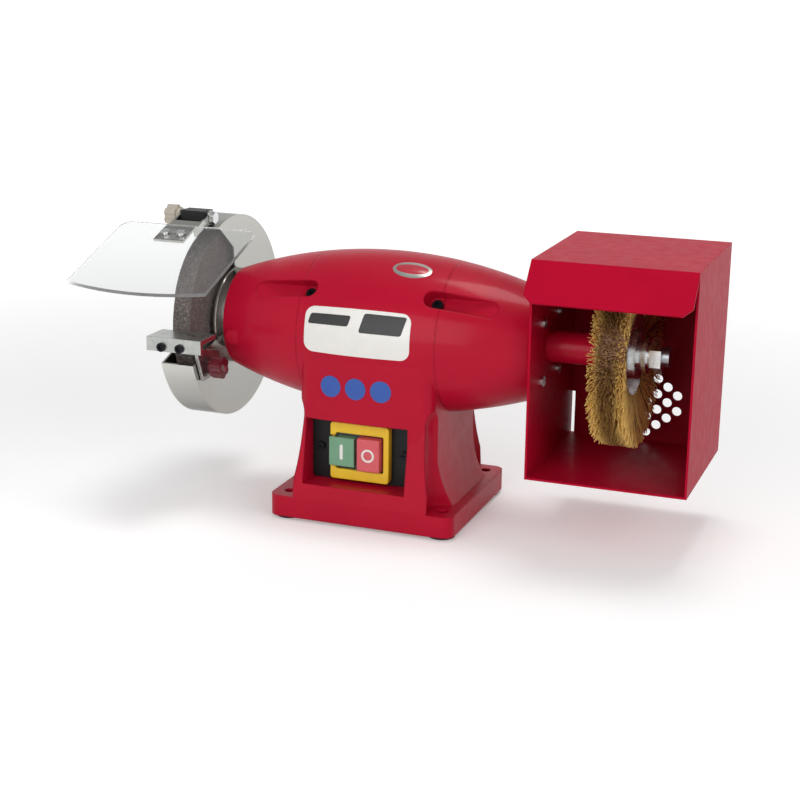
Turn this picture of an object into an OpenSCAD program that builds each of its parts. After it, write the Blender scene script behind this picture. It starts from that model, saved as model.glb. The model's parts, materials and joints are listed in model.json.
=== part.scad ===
// Combination bench grinder: a grinding wheel under a bright guard at one end of the
// shaft and a wire brush in a sheet-metal hood at the other.
// Millimetres. X runs along the shaft towards the brush, -Y is the front, Z is up.
// The origin is on the bench, in the middle of the four bench bolts.

/* [Base] */
// Width of the base along the shaft
base_w = 162; // [156:1:190]
// Depth of the base, front to back
base_d = 146; // [142:1:170]
// Thickness of the base
base_h = 18; // [12:1:24]
// Radius of the base's corners
base_corner_r = 9; // [4:1:14]
// Height of the rubber feet
foot_h = 3; // [2:0.5:6]
// Radius of the rubber feet
foot_r = 11; // [8:1:13]
// Distance between bench bolts along the shaft
bolt_pitch_x = 136; // [130:1:140]
// Distance between bench bolts, front to back
bolt_pitch_y = 116; // [110:1:120]
// Diameter of a bench bolt hole
bolt_hole_d = 9; // [6:0.5:11]
// Radius of the pocket over each bench bolt
bolt_pocket_r = 15; // [12:0.5:17]
// Height of the pocket's top above the bench
bolt_pocket_top = 107; // [60:1:110]

/* [Pedestal] */
// Width of the pedestal along the shaft
ped_w = 118; // [110:1:120]
// Radius of the pedestal's upright edges
ped_corner_r = 12; // [6:1:16]
// How far the pedestal's face lies inside the barrel's flank
ped_inset = 1.5; // [1:0.5:4]
// Height of the flare at each side
flare_h = 44; // [25:1:60]
// Spread of the flare at each side
flare_w = 13; // [6:1:14]
// Height of the leaning apron at the front and back, above the base
apron_h = 76; // [60:1:78]
// How far the apron's top runs into the column's face
apron_bite = 6; // [4:0.5:8]
// Thickness of the pedestal's side and back walls
ped_wall = 9; // [6:0.5:12]
// Thickness of the front wall round the switch pocket
front_wall = 26; // [22:1:30]
// Height of the pedestal's hollow above the bench
hollow_top = 94; // [88:1:98]

/* [Barrel] */
// Height of the shaft above the bench
axis_h = 154; // [148:1:170]
// Largest radius of the barrel
barrel_r = 67; // [64:1:75]
// Radius of the barrel's long crown
crown_r = 388; // [340:1:600]
// How far the joints of the end bells lie outside the pedestal
split_gap = 1; // [0.5:0.5:4]
// Length of the barrel towards the wheel
left_len = 136; // [132:1:150]
// Length of the barrel towards the brush
right_len = 136; // [132:1:145]
// Radius of the motor's bore
bore_r = 46; // [44:0.5:48]
// Radius of the hollow in the end bells
bell_hollow_r = 37; // [33:0.5:37]
// Length of the bells' register inside the bore
register_len = 10; // [8:0.5:12]
// Fit between the bells or the stator and the bore
bore_fit = 0.05; // [0.02:0.01:0.1]

/* [Flutes] */
// Width of a flute
flute_w = 15; // [12:0.5:18]
// How far a flute runs in from the bell's joint
flute_lead = 14; // [12:1:16]
// How far a flute runs out from the bell's joint
flute_run = 46; // [30:1:48]
// Radius at which the flute's floor lies
flute_floor_r = 51.5; // [50.5:0.5:53]
// Angle of the flutes above the horizontal
flute_angle = 40; // [35:1:50]
// Radius of the screws that hold the end bells
bell_screw_r = 2.5; // [2:0.5:3]

/* [Motor] */
// Length of the stator core
stator_len = 60; // [50:1:66]
// Radius of the hole in the stator
stator_in_r = 27; // [24:0.5:30]
// Air gap between rotor and stator
air_gap = 0.4; // [0.3:0.1:0.8]
// Length of each end winding
winding_len = 17; // [12:1:19]
// Radius of the shaft in the rotor
shaft_r = 10; // [9.5:0.5:12]
// Fit of the pieces pushed on the shaft
shaft_fit = 0.03; // [0.02:0.01:0.05]

/* [Bearings] */
// Bore radius of the bearings
bearing_in_r = 8.5; // [8.3:0.1:9]
// Outer radius of the bearings
bearing_out_r = 20; // [19:0.5:22]
// Width of the bearings
bearing_w = 12; // [10:0.5:14]
// Thickness of the bearing rings
ring_t = 2.8; // [2.2:0.1:3.2]
// Balls in each bearing
ball_count = 8; // [6:1:9]
// Gap between the balls and the rings
ball_gap = 0.08; // [0.05:0.01:0.1]
// Thickness of the end wall outside the bearing
end_wall = 6; // [4:0.5:8]
// Thickness of the wave washer
wave_t = 1; // [0.5:0.1:1.5]

/* [Grinding wheel] */
// Radius of the grinding wheel
wheel_r = 75; // [60:1:76]
// Width of the grinding wheel
wheel_w = 16; // [12:1:18]
// Radius of the shaft's ends, where wheel and brush sit
arbor_r = 7.95; // [7:0.05:8.2]
// Radius of the wheel flanges
flange_r = 25; // [20:1:25]
// Thickness of a wheel flange
flange_t = 3; // [2.5:0.5:5]
// Thickness of a paper blotter
blotter_t = 0.5; // [0.3:0.1:1]
// Distance across the flats of the nuts
nut_af = 24; // [22:1:26]
// Height of the wheel nut
nut_h = 8.5; // [7:0.5:10]

/* [Guard] */
// Outer radius of the guard
guard_r = 87; // [86.5:0.5:92]
// Width of the guard
guard_w = 28; // [27:1:34]
// Thickness of the guard's sheet
guard_t = 1.5; // [1:0.1:2]
// Angle of the opening's upper edge
guard_open_up = 66; // [60:1:70]
// Angle of the opening's lower edge
guard_open_down = 18; // [12:1:22]
// Radius of the plates' middle, left whole in the opening
guard_hub_r = 42; // [38:1:46]
// Radius of the hole round the shaft
guard_bore_r = 20; // [17:0.5:21]
// Radius of the dome over the wheel nut
dome_r = 33; // [30:0.5:34]
// Thickness of the bright ring between the end bell and the guard
spacer_t = 8; // [4:0.5:12]
// Radius of that ring
spacer_r = 41; // [36:0.5:42]

/* [Tool rest] */
// Length of the rest along the shaft
rest_len = 49.5; // [45:0.5:60]
// Depth of the rest's table
rest_d = 27.5; // [22:0.5:32]
// Thickness of the rest's plate
rest_t = 4; // [3:0.5:5]
// Gap between the rest and the wheel
rest_gap = 3.5; // [3:0.1:5]
// Drop of the front lip below the table
lip_drop = 8; // [7:0.5:12]
// Thickness of the side arm
arm_t = 3.5; // [3:0.1:4]
// Radius of the clamp stud
stud_r = 3; // [2.5:0.5:4]
// Travel of the rest towards the wheel
rest_in = 2; // [1:0.1:2.5]
// Travel of the rest away from the wheel
rest_out = 10; // [4:0.5:12]

/* [Eye shield] */
// Width of the clear shield
shield_w = 122; // [100:1:130]
// Length of the clear shield, back to front
shield_l = 107; // [80:1:115]
// Thickness of the clear shield
shield_t = 3; // [2:0.5:4]
// Bulge of the shield's front edge
shield_bulge = 8; // [4:1:12]
// Slope of the shield, down to the front
shield_tilt = 19.7; // [15:0.1:25]
// Length of the black pivot block along the shaft
block_len = 23; // [18:1:24]
// Radius of the pivot bolt
pivot_r = 3; // [2.5:0.5:4]
// Thickness of the arm's sheet
shield_arm_t = 2; // [1.5:0.5:2.5]

/* [Brush] */
// Radius of the wire brush
brush_r = 75; // [60:1:76]
// Width of the brush at its rim
brush_rim_w = 32; // [24:1:36]
// Width of the brush's backing ring
brush_ring_w = 11; // [8:0.5:14]
// Radius at which the wires leave the backing
wire_root_r = 30; // [27:0.5:32]
// Radius of the hub under the backing
hub_r = 26; // [22:0.5:26]
// Rows of wire across the brush
wire_rows = 6; // [4:2:6]
// Wire cells round the brush, half of them with a wire
wire_cells = 120; // [100:2:120]
// Radius of the bright washer at the nut
washer_r = 15; // [12:0.5:17]
// Length of the nose tube that carries the shaft
nose_len = 48; // [40:1:52]
// Radius of the nose tube
nose_r = 13; // [12:0.5:15]

/* [Brush hood] */
// Width of the hood along the shaft
hood_w = 130; // [122:1:145]
// Hood's front edge, in front of the shaft
hood_front = 57; // [45:1:75]
// Hood's back, behind the shaft
hood_back = 81; // [79:1:95]
// Height of the hood's floor above the bench
hood_floor = 57; // [40:1:70]
// Height of the hood's top above the bench
hood_top = 235; // [233:1:250]
// Thickness of the hood's sheet
hood_t = 1.8; // [1.2:0.1:2.5]
// Forward reach of the slanting lip
lip_reach = 24; // [15:1:30]
// Drop of the slanting lip
lip_fall = 29; // [20:1:35]
// Clipped corner of the lip
lip_clip = 7; // [3:1:10]
// Radius of a dust hole
dust_hole_r = 4; // [2.5:0.5:4.5]
// Distance between neighbouring dust holes, up the panel
dust_pitch = 13.6; // [12:0.1:15]

/* [Switch] */
// Middle of the switch along the shaft
switch_x = -6; // [-7:1:4]
// Height of the switch's middle above the bench
switch_z = 61; // [58:1:62]
// Width of the switch pocket
pocket_w = 90; // [80:1:92]
// Height of the switch pocket
pocket_h = 55; // [52:1:58]
// Depth of the switch pocket
pocket_depth = 20; // [15:0.5:20]
// Width of the yellow bezel
bezel_w = 52; // [48:1:56]
// Height of the yellow bezel
bezel_h = 49; // [46:1:50]
// Thickness of the yellow bezel
bezel_t = 8; // [6:0.5:10]
// Width of the start button
start_w = 16; // [14:0.5:17]
// Height of the start button
start_h = 25; // [20:0.5:27]
// Width of the stop button
stop_w = 20; // [16:0.5:20]
// Height of the stop button
stop_h = 28; // [22:0.5:28]
// Travel of the buttons
button_travel = 3.5; // [2:0.5:4]

/* [Hidden] */
$fn = 64;

// Small clearances, and how far a cut runs past a face
loose = 0.3;
touch = 0.05;
over = 1;

// Screws: head radius and height and socket radius as shares of the thread's radius
head_wide = 1.8;
head_tall = 1.1;
socket_wide = 0.8;

// Finishes as they look
paint_red = "#B0102E";
dark_red = "#7A0A1E";
bright_sheet = "#C9CBCC";
bright_zinc = "#DDDFE0";
steel = "#8E9297";
black_plastic = "#1B1B1D";

// Heights of the base, and the pedestal's plan
base_top = foot_h + base_h;
flare_r = (flare_h * flare_h + flare_w * flare_w) / (2 * flare_w);
plan_drop = crown_r - barrel_r + ped_inset;
plan_x = ped_w / 2 - ped_corner_r;
plan_y = sqrt(pow(crown_r - ped_corner_r, 2) - plan_x * plan_x) - plan_drop;
plan_slope = atan2(plan_x, plan_y + plan_drop);
face_y = barrel_r - ped_inset;
apron_lean = base_d / 2 - touch - face_y + apron_bite;
split_x = ped_w / 2 + split_gap;
flute_in = split_x - flute_lead;
flute_out = split_x + flute_run;
hollow_front = -face_y + front_wall;
hollow_back = face_y - ped_wall;
hollow_x = ped_w / 2 - ped_wall;
cover_lap = 5;
cover_t = 1.5;
cover_screw_r = 2;
cover_screw_set = 10;
vent_pitch = 12;
vent_w = 4;
vent_len = 40;
cover_head = 1.5;
end_screw_in = 8;
bell_screw_in = 5;
seat_lead = 4;
wire_hole_r = 9;
boss_r = 7;
boss_in = 11;
boss_proud = 1.5;
boss_angle = -10;

// Motor's core and rotor
slot_count = 24;
slot_w = 3.2;
core_back = 8;
tooth_tip = 3;
end_ring_w = 6;
end_ring_off = 4;
end_ring_set = 2;
end_ring_in = shaft_r + end_ring_off;
end_ring_out = stator_in_r - end_ring_set;
blade_t = 2;
blade_len = 9;
blade_set_low = 2;
blade_set_high = 1;
blade_low = end_ring_in + blade_set_low;
blade_high = end_ring_out - blade_set_high;

// Switch, from the pocket's floor forward
plate_t = 2.5;
plate_back = -face_y + pocket_depth;
plate_face = plate_back - plate_t;
bezel_face = plate_face - bezel_t;
bezel_rim = 3;
body_w = bezel_w - 2 * bezel_rim;
body_h = bezel_h - 2 * bezel_rim;
body_front = plate_face - bezel_t / 2;
body_len = 27;
body_back = plate_back + body_len;
button_in = 13;
button_back = body_front + button_in;
well_floor = button_back + button_travel + over;
window_gap = 7;
well_gap = 0.2;
button_gap = 3;
buttons_w = start_w + stop_w + button_gap;
start_x = switch_x - buttons_w / 2 + start_w / 2;
stop_x = switch_x + buttons_w / 2 - stop_w / 2;
start_proud = 3;
stop_proud = 5;
cap_gap = 0.5;
cap_left = switch_x - bezel_w / 2;
cap_w = start_x + start_w / 2 - cap_left;
start_face = bezel_face - start_proud;
stop_face = bezel_face - stop_proud;
switch_screw_set = 8;
switch_screw_x = pocket_w / 2 - switch_screw_set;
switch_screw_r = 2;
switch_screw_in = 4;
screw_slot = 1;

// Cable gland in the back wall, and the capacitor below it
gland_z = 78;
gland_r = 8;
cable_r = 4;
gland_rim = 4;
gland_rim_t = 5;
gland_dome = 9;
gland_tail = 9;
can_r = 16;
can_len = 56;
can_back = 3;
can_rise = 4;
can_y = hollow_back - can_r - can_back;
can_z = foot_h + cover_t + can_r + can_rise;
strap_t = 1.5;
strap_w = 14;
strap_leg = 10;

// Stations along the shaft, from the bearings out to the wheel nut
left_bearing_x = -left_len + end_wall;
right_bearing_x = right_len - end_wall - bearing_w;
shaft_clear = 1.5;
shaft_hole_r = bearing_in_r + shaft_clear;
guard_seat = -left_len - spacer_t;
guard_inside = guard_seat - guard_t;
shoulder_gap = 0.5;
flange_gap = 1;
wheel_shoulder = guard_seat - shoulder_gap;
flange_disc = guard_inside - flange_gap;
blotter_in = flange_disc - flange_t;
wheel_in = blotter_in - blotter_t;
wheel_out = wheel_in - wheel_w;
blotter_out = wheel_out - blotter_t;
nut_seat = blotter_out - flange_t;
tip_out = 3;
left_tip = nut_seat - nut_h - tip_out;
guard_cover_x = guard_seat - guard_w;
guard_face = guard_cover_x - guard_t;
dome_gap = 3;
dome_end = left_tip - dome_gap;

// Stations from the nose tube out to the brush nut
nose_end = right_len + nose_len;
nose_gap_x = 2;
brush_boss_t = 5;
brush_flange_t = 3;
side_plate_t = 1.2;
core_side = 0.8;
outer_boss_t = 4;
washer_t = 3;
brush_collar = 3;
brush_nut_h = 9;
brush_tip_out = 5.5;
side_plate_lap = 3;
brush_shoulder = nose_end + nose_gap_x;
brush_disc = brush_shoulder + brush_boss_t;
brush_plate = brush_disc + brush_flange_t;
brush_core_w = brush_ring_w + 2 * core_side;
brush_far = brush_plate + 2 * side_plate_t + brush_core_w;
brush_mid = (brush_plate + brush_far) / 2;
brush_boss = brush_far + brush_flange_t;
brush_washer_x = brush_boss + outer_boss_t;
brush_nut_x = brush_washer_x + washer_t;
right_tip = brush_nut_x + brush_collar + brush_nut_h + brush_tip_out;
side_plate_r = wire_root_r + side_plate_lap;
thread_depth = 0.4;
thread_r = arbor_r - thread_depth;
brush_flange_r = 20;
brush_boss_r = 11;
wheel_hub_r = 13;
blotter_edge = 8;
collar_step = 1.5;
collar_r = nut_af / 2 - collar_step;

// Guard, tool rest and eye shield
mouth_far = guard_r * 1.5;
mouth_step = 2;
mouth_corner_y = 3;
mouth_rise = 16;
mouth_corner_z = guard_hub_r + mouth_rise;
guard_mid = (guard_open_up - guard_open_down) / 2;
lug_r = 4;
lug_len = 10;
lug_screw_r = 1.5;
lug_bite = 0.8;
lug_at = guard_r - guard_t - lug_r + lug_bite;
lug_angles = [100, 185, 275];
guard_screw_at = 30;
guard_screw_r = 2.5;
flat_head = 2;
block_screw_r = 2;
block_screw_in = 4;
rest_rise = 1.5;
rest_top = axis_h + rest_rise;
lip_low = rest_top - rest_t - lip_drop;
rest_back = -wheel_r - rest_gap;
rest_front = rest_back - rest_d;
rest_over = 0.5;
rest_left = guard_face - rest_over;
rest_right = rest_left + rest_len;
arm_gap = 0.5;
arm_near = guard_seat + arm_gap;
arm_far = arm_near + arm_t;
stud_y = -60;
stud_drop = 32;
stud_z = axis_h - stud_drop;
slot_r = stud_r + loose;
slot_front = stud_y - rest_in - touch;
slot_back = stud_y + rest_out + touch;
arm_half = 10;
arm_low = stud_z - arm_half;
slot_end = 9;
arm_back = slot_back + slot_end;
arm_set = 4;
stud_head = 1.5;
rest_screw_r = 2.5;
rest_screw_at = 14;
rest_screw_pitch = 16.5;
rest_head_wide = 1.5;
knob_r = 9;
knob_len = 13;
knob_neck = 3;
scallop_r = 3.5;
scallop_out = 2;
scallop_at = knob_r + scallop_out;
block_over = 2.5;
block_left = guard_face - block_over;
block_right = block_left + block_len;
pivot_y = -31;
pivot_rise = 2;
pivot_z = axis_h + guard_r + pivot_rise;
block_half = 8;
block_cap = 6;
block_top = pivot_z + block_cap;
cheek_t = 1.7;
cheek_left = block_left - loose - cheek_t;
cheek_right = block_right + loose + cheek_t;
shield_shift = 3.5;
shield_mid = guard_face + guard_w / 2 + shield_shift;
shield_level = 4.4;
shield_back = 28;
shield_corner_r = 9;
shield_screw_r = 2;
shield_screw_y = 42;
shield_screw_gap = 14;
shield_nut = 3;
arm_level = shield_level - shield_arm_t;
arm_start = 15.5;
arm_reach = 52;
cheek_reach = 30;
cheek_low = 4;
bolt_head = 4;

// Hood
hood_left = right_len;
hood_right = right_len + hood_w;
hood_screw_at = 34;
hood_screw_r = 2.5;
nose_gap = 0.4;
lip_lap = 12;
dust_shift = 2;
dust_x = brush_mid + dust_shift;
dust_z = 94;
dust_rows = [2, 3, 4, 5, 4, 3, 2];
dust_stagger = 0.63;
notch_w = 3;
notch_h = 37;

// A rounded rectangle about the origin
module rounded_rect(w, d, r) {
    square([w - 2 * r, d], center = true);
    square([w, d - 2 * r], center = true);
    for (sx = [-1, 1], sy = [-1, 1])
        translate([sx * (w / 2 - r), sy * (d / 2 - r)]) circle(r);
}

// A box given by its lowest and highest corners
module box(low, high) {
    translate(low) cube(high - low);
}

// A cylinder along the shaft's axis
module on_shaft(x0, x1, r) {
    translate([min(x0, x1), 0, axis_h]) rotate([0, 90, 0]) cylinder(h = abs(x1 - x0), r = r);
}

// A cylinder along X at any place
module along_x(x0, x1, y, z, r, sides = 64) {
    translate([min(x0, x1), y, z]) rotate([0, 90, 0]) cylinder(h = abs(x1 - x0), r = r, $fn = sides);
}

// A cylinder along Y at any place
module along_y(y0, y1, x, z, r, sides = 64) {
    translate([x, min(y0, y1), z]) rotate([-90, 0, 0]) cylinder(h = abs(y1 - y0), r = r, $fn = sides);
}

// A flat shape, drawn in Y and height above the shaft, given a thickness along X
module plate_x(x0, x1) {
    translate([min(x0, x1), 0, axis_h]) rotate([90, 0, 90]) linear_extrude(abs(x1 - x0)) children();
}

// A ring on the shaft
module ring(x0, x1, r_in, r_out) {
    difference() {
        on_shaft(x0, x1, r_out);
        on_shaft(min(x0, x1) - over, max(x0, x1) + over, r_in);
    }
}

// The crowned barrel between two stations
module barrel(x0, x1) {
    translate([0, 0, axis_h]) rotate([0, 90, 0]) rotate_extrude($fn = 96) intersection() {
        translate([barrel_r - crown_r, 0]) circle(r = crown_r, $fn = 180);
        translate([0, x0]) square([barrel_r + over, x1 - x0]);
    }
}

// Radius of the barrel at a station
function barrel_at(x) = barrel_r - crown_r + sqrt(crown_r * crown_r - x * x);

// The pedestal's plan follows the barrel's crown and has rounded upright edges
module pedestal_plan() {
    for (m = [0, 1]) mirror([0, m]) intersection() {
        translate([0, -plan_drop]) circle(r = crown_r, $fn = 180);
        translate([0, -plan_drop]) polygon([
            [0, 0],
            [tan(plan_slope) * 2 * crown_r, 2 * crown_r],
            [-tan(plan_slope) * 2 * crown_r, 2 * crown_r]
        ]);
        translate([-ped_w / 2, 0]) square([ped_w, barrel_r]);
    }
    square([ped_w, 2 * plan_y], center = true);
    for (sx = [-1, 1], sy = [-1, 1])
        translate([sx * plan_x, sy * plan_y]) circle(ped_corner_r);
}

// The concave flare at one side of the pedestal
module flare() {
    rotate([90, 0, 0]) linear_extrude(2 * plan_y, center = true) difference() {
        translate([ped_w / 2 - over, base_top - over]) square([flare_w + over, flare_h + over]);
        translate([ped_w / 2 + flare_r, base_top + flare_h]) circle(r = flare_r, $fn = 180);
    }
}

// The apron at the pedestal's front leans back from the base until it meets the column
module apron() {
    rotate([90, 0, 90]) linear_extrude(ped_w, center = true) polygon([
        [-plan_y + ped_corner_r, base_top - over],
        [-base_d / 2 + touch, base_top - over],
        [-base_d / 2 + touch, base_top],
        [-base_d / 2 + touch + apron_lean, base_top + apron_h],
        [-plan_y + ped_corner_r, base_top + apron_h]
    ]);
}

// One flute with round ends, cut square to the barrel
module flute(side, angle) {
    translate([0, 0, axis_h]) rotate([90 - angle, 0, 0]) {
        for (x = [flute_in + flute_w / 2, flute_out - flute_w / 2])
            translate([side * x, 0, flute_floor_r]) cylinder(h = barrel_r, r = flute_w / 2);
        translate([side * (flute_in + flute_out) / 2, 0, flute_floor_r + barrel_r / 2])
            cube([flute_out - flute_in - flute_w, flute_w, barrel_r], center = true);
    }
}

module flutes() {
    for (side = [-1, 1], angle = [flute_angle, 180 - flute_angle]) flute(side, angle);
}

// Cylinders at the four places of the bell screws, square to the barrel
module bell_screw_places(r0, r1, r) {
    for (side = [-1, 1], angle = [flute_angle, 180 - flute_angle])
        translate([0, 0, axis_h]) rotate([90 - angle, 0, 0])
            translate([side * (split_x - register_len / 2), 0, r0]) cylinder(h = r1 - r0, r = r);
}

// Places of the bench bolts
module at_bolts() {
    for (sx = [-1, 1], sy = [-1, 1])
        translate([sx * bolt_pitch_x / 2, sy * bolt_pitch_y / 2, 0]) children();
}

// Places of the bottom cover's screws
module at_cover_screws() {
    for (sx = [-1, 1], y = [hollow_front + cover_screw_set, hollow_back - cover_screw_set])
        translate([sx * (hollow_x + cover_lap / 2 + over), y, 0]) children();
}

// Cast body: base, pedestal and the barrel's middle
module motor_housing() {
    color(paint_red) difference() {
        union() {
            difference() {
                union() {
                    translate([0, 0, base_top - over]) linear_extrude(axis_h - base_top + over)
                        pedestal_plan();
                    for (m = [0, 1]) {
                        mirror([m, 0, 0]) flare();
                        mirror([0, m, 0]) apron();
                    }
                }
                at_bolts() {
                    translate([0, 0, base_top])
                        cylinder(h = bolt_pocket_top - bolt_pocket_r - base_top, r = bolt_pocket_r);
                    translate([0, 0, bolt_pocket_top - bolt_pocket_r]) sphere(bolt_pocket_r);
                }
            }
            translate([0, 0, foot_h]) linear_extrude(base_h)
                rounded_rect(base_w, base_d, base_corner_r);
            barrel(-split_x, split_x);
        }
        on_shaft(-split_x - over, split_x + over, bore_r);
        flutes();
        bell_screw_places(bore_r - over, flute_floor_r + over, bell_screw_r + touch);
        at_bolts() translate([0, 0, foot_h - over]) cylinder(h = base_h + 2 * over, r = bolt_hole_d / 2);
        box([-hollow_x, hollow_front, foot_h - over], [hollow_x, hollow_back, hollow_top]);
        box([-hollow_x - cover_lap, hollow_front - cover_lap, foot_h - over],
            [hollow_x + cover_lap, hollow_back + cover_lap, foot_h + cover_t + touch]);
        at_cover_screws() translate([0, 0, foot_h])
            cylinder(h = end_screw_in + over, r = cover_screw_r + touch);
        translate([split_x / 2, 0, hollow_top - over])
            cylinder(h = axis_h - bore_r - hollow_top + wire_hole_r, r = wire_hole_r);
        switch_pocket();
        along_y(hollow_back - over, base_d / 2 + over, 0, gland_z, gland_r + touch);
        along_y(face_y + touch, base_d / 2 + over, 0, gland_z, gland_r + gland_rim + loose);
    }
}

// The pocket for the switch, with a lip that the plate rests on
module switch_pocket() {
    box([switch_x - pocket_w / 2, -base_d / 2 - over, switch_z - pocket_h / 2],
        [switch_x + pocket_w / 2, plate_back, switch_z + pocket_h / 2]);
    box([switch_x - body_w / 2 - window_gap, -base_d / 2, switch_z - body_h / 2 - over],
        [switch_x + body_w / 2 + window_gap, hollow_front + over, switch_z + body_h / 2 + over]);
    for (s = [-1, 1])
        along_y(plate_back - over, hollow_front + over, switch_x + s * switch_screw_x, switch_z,
            switch_screw_r + touch);
}

// The end bell's solid outside and hollow inside, between the split and its end
module bell(side, length) {
    inner = length - end_wall - bearing_w;
    difference() {
        union() {
            barrel(side < 0 ? -length : split_x, side < 0 ? -split_x : length);
            on_shaft(side * (split_x + over), side * (split_x - register_len), bore_r - bore_fit);
        }
        on_shaft(side * (split_x - register_len - over), side * (inner - seat_lead), bell_hollow_r);
        on_shaft(side * (inner - seat_lead - over), side * (length - end_wall), bearing_out_r + touch);
        on_shaft(side * (inner - over), side * (length + over), shaft_hole_r);
        flutes();
        bell_screw_places(bore_r - bell_screw_in - over, bore_r + over, bell_screw_r + touch);
    }
}

module left_end_bell() {
    boss_x = boss_in - left_len;
    boss_top = barrel_at(boss_x) + boss_proud;
    color(paint_red) difference() {
        union() {
            bell(-1, left_len);
            translate([0, 0, axis_h]) rotate([90 - boss_angle, 0, 0])
                translate([boss_x, 0, bell_hollow_r + over])
                    cylinder(h = boss_top - bell_hollow_r - over, r = boss_r);
        }
        guard_screw_places(-left_len - over, -left_len + end_screw_in + over, guard_screw_r + touch);
    }
}

module right_end_bell() {
    color(paint_red) difference() {
        union() {
            bell(1, right_len);
            ring(right_len - end_wall, nose_end, shaft_hole_r, nose_r);
        }
        hood_screw_places(right_len - end_screw_in - over, right_len + over, hood_screw_r + touch);
    }
}

// Screws in the flutes that hold the bells' registers
module bell_screws() {
    head_top = flute_floor_r + bell_screw_r * head_tall;
    color(steel) {
        bell_screw_places(bore_r - bell_screw_in, flute_floor_r + touch, bell_screw_r);
        difference() {
            bell_screw_places(flute_floor_r + touch, head_top, bell_screw_r * head_wide);
            bell_screw_places(flute_floor_r + over, head_top + over, bell_screw_r * socket_wide);
        }
    }
}

module bottom_cover() {
    color(steel) difference() {
        box([-hollow_x - cover_lap + loose, hollow_front - cover_lap + loose, foot_h],
            [hollow_x + cover_lap - loose, hollow_back + cover_lap - loose, foot_h + cover_t]);
        at_cover_screws() translate([0, 0, foot_h - over])
            cylinder(h = cover_t + 2 * over, r = cover_screw_r + touch);
        for (i = [-2:2])
            box([i * vent_pitch - vent_w / 2, -vent_len / 2, foot_h - over],
                [i * vent_pitch + vent_w / 2, vent_len / 2, foot_h + cover_t + over]);
    }
}

module bottom_cover_screws() {
    color(steel) at_cover_screws() {
        translate([0, 0, foot_h]) cylinder(h = end_screw_in, r = cover_screw_r);
        translate([0, 0, foot_h - cover_head]) cylinder(h = cover_head, r = cover_screw_r * head_wide);
    }
}

module rubber_feet() {
    color("#202022") at_bolts() difference() {
        cylinder(h = foot_h, r = foot_r);
        translate([0, 0, -over]) cylinder(h = foot_h + 2 * over, r = bolt_hole_d / 2);
    }
}

// Laminated core with teeth inside
module stator_core() {
    color("#70747A") difference() {
        on_shaft(-stator_len / 2, stator_len / 2, bore_r - bore_fit);
        on_shaft(-stator_len / 2 - over, stator_len / 2 + over, stator_in_r);
        for (i = [0:slot_count - 1])
            translate([0, 0, axis_h]) rotate([i * 360 / slot_count, 0, 0])
                box([-stator_len / 2 - over, -slot_w / 2, stator_in_r - over],
                    [stator_len / 2 + over, slot_w / 2, bore_r - core_back]);
    }
}

module stator_windings() {
    color("#9A4F24") for (s = [-1, 1])
        ring(s * stator_len / 2, s * (stator_len / 2 + winding_len), stator_in_r + tooth_tip,
            bore_r - core_back + 2);
}

module capacitor() {
    color("#D8D8D4") along_x(-can_len / 2, can_len / 2, can_y, can_z, can_r);
}

// Strap that holds the capacitor to the back wall
module capacitor_clip() {
    half = strap_w / 2;
    top = can_z + can_r + strap_t;
    color(steel) difference() {
        union() {
            along_x(-half, half, can_y, can_z, can_r + strap_t);
            box([-half, can_y, top - strap_t], [half, hollow_back, top]);
            box([-half, hollow_back - strap_t, top - strap_t], [half, hollow_back, top + strap_leg]);
        }
        along_x(-half - over, half + over, can_y, can_z, can_r + touch);
    }
}

module switch_plate() {
    color(black_plastic) difference() {
        translate([switch_x, plate_back, switch_z]) rotate([90, 0, 0]) linear_extrude(plate_t)
            rounded_rect(pocket_w - 2 * loose, pocket_h - 2 * loose, bezel_rim);
        box([switch_x - body_w / 2 - touch, plate_face - over, switch_z - body_h / 2 - touch],
            [switch_x + body_w / 2 + touch, plate_back + over, switch_z + body_h / 2 + touch]);
        for (s = [-1, 1])
            along_y(plate_face - over, plate_back + over, switch_x + s * switch_screw_x, switch_z,
                switch_screw_r + touch);
    }
}

// A well or button: a box about a place on the switch's face
module button_box(x, w, h, y0, y1) {
    box([x - w / 2, y0, switch_z - h / 2], [x + w / 2, y1, switch_z + h / 2]);
}

module switch_body() {
    color("#3A3D40") difference() {
        button_box(switch_x, body_w, body_h, body_front, body_back);
        button_box(start_x, start_w + 2 * well_gap, start_h + 2 * well_gap, body_front - over, well_floor);
        button_box(stop_x, stop_w + 2 * well_gap, stop_h + 2 * well_gap, body_front - over, well_floor);
    }
}

module switch_bezel() {
    color("#E8BE22") difference() {
        translate([switch_x, plate_face, switch_z]) rotate([90, 0, 0]) linear_extrude(bezel_t)
            rounded_rect(bezel_w, bezel_h, bezel_rim);
        button_box(switch_x, body_w + 2 * touch, body_h + 2 * touch, body_front - touch, plate_face + over);
        button_box(switch_x, buttons_w + button_gap, max(start_h, stop_h) + button_gap, bezel_face - over,
            plate_face + over);
        button_box(cap_left, 2 * cap_w, start_h + 2 * cap_gap, bezel_face - over,
            bezel_face + button_travel + cap_gap);
    }
}

module switch_screws() {
    color(bright_zinc) for (s = [-1, 1]) {
        x = switch_x + s * switch_screw_x;
        head_r = switch_screw_r * head_wide;
        head_h = switch_screw_r * head_tall;
        along_y(plate_face, plate_back + switch_screw_in, x, switch_z, switch_screw_r);
        difference() {
            along_y(plate_face - head_h, plate_face, x, switch_z, head_r);
            box([x - head_r - over, plate_face - head_h - over, switch_z - screw_slot / 2],
                [x + head_r + over, plate_face - head_h / 2, switch_z + screw_slot / 2]);
        }
    }
}

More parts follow.
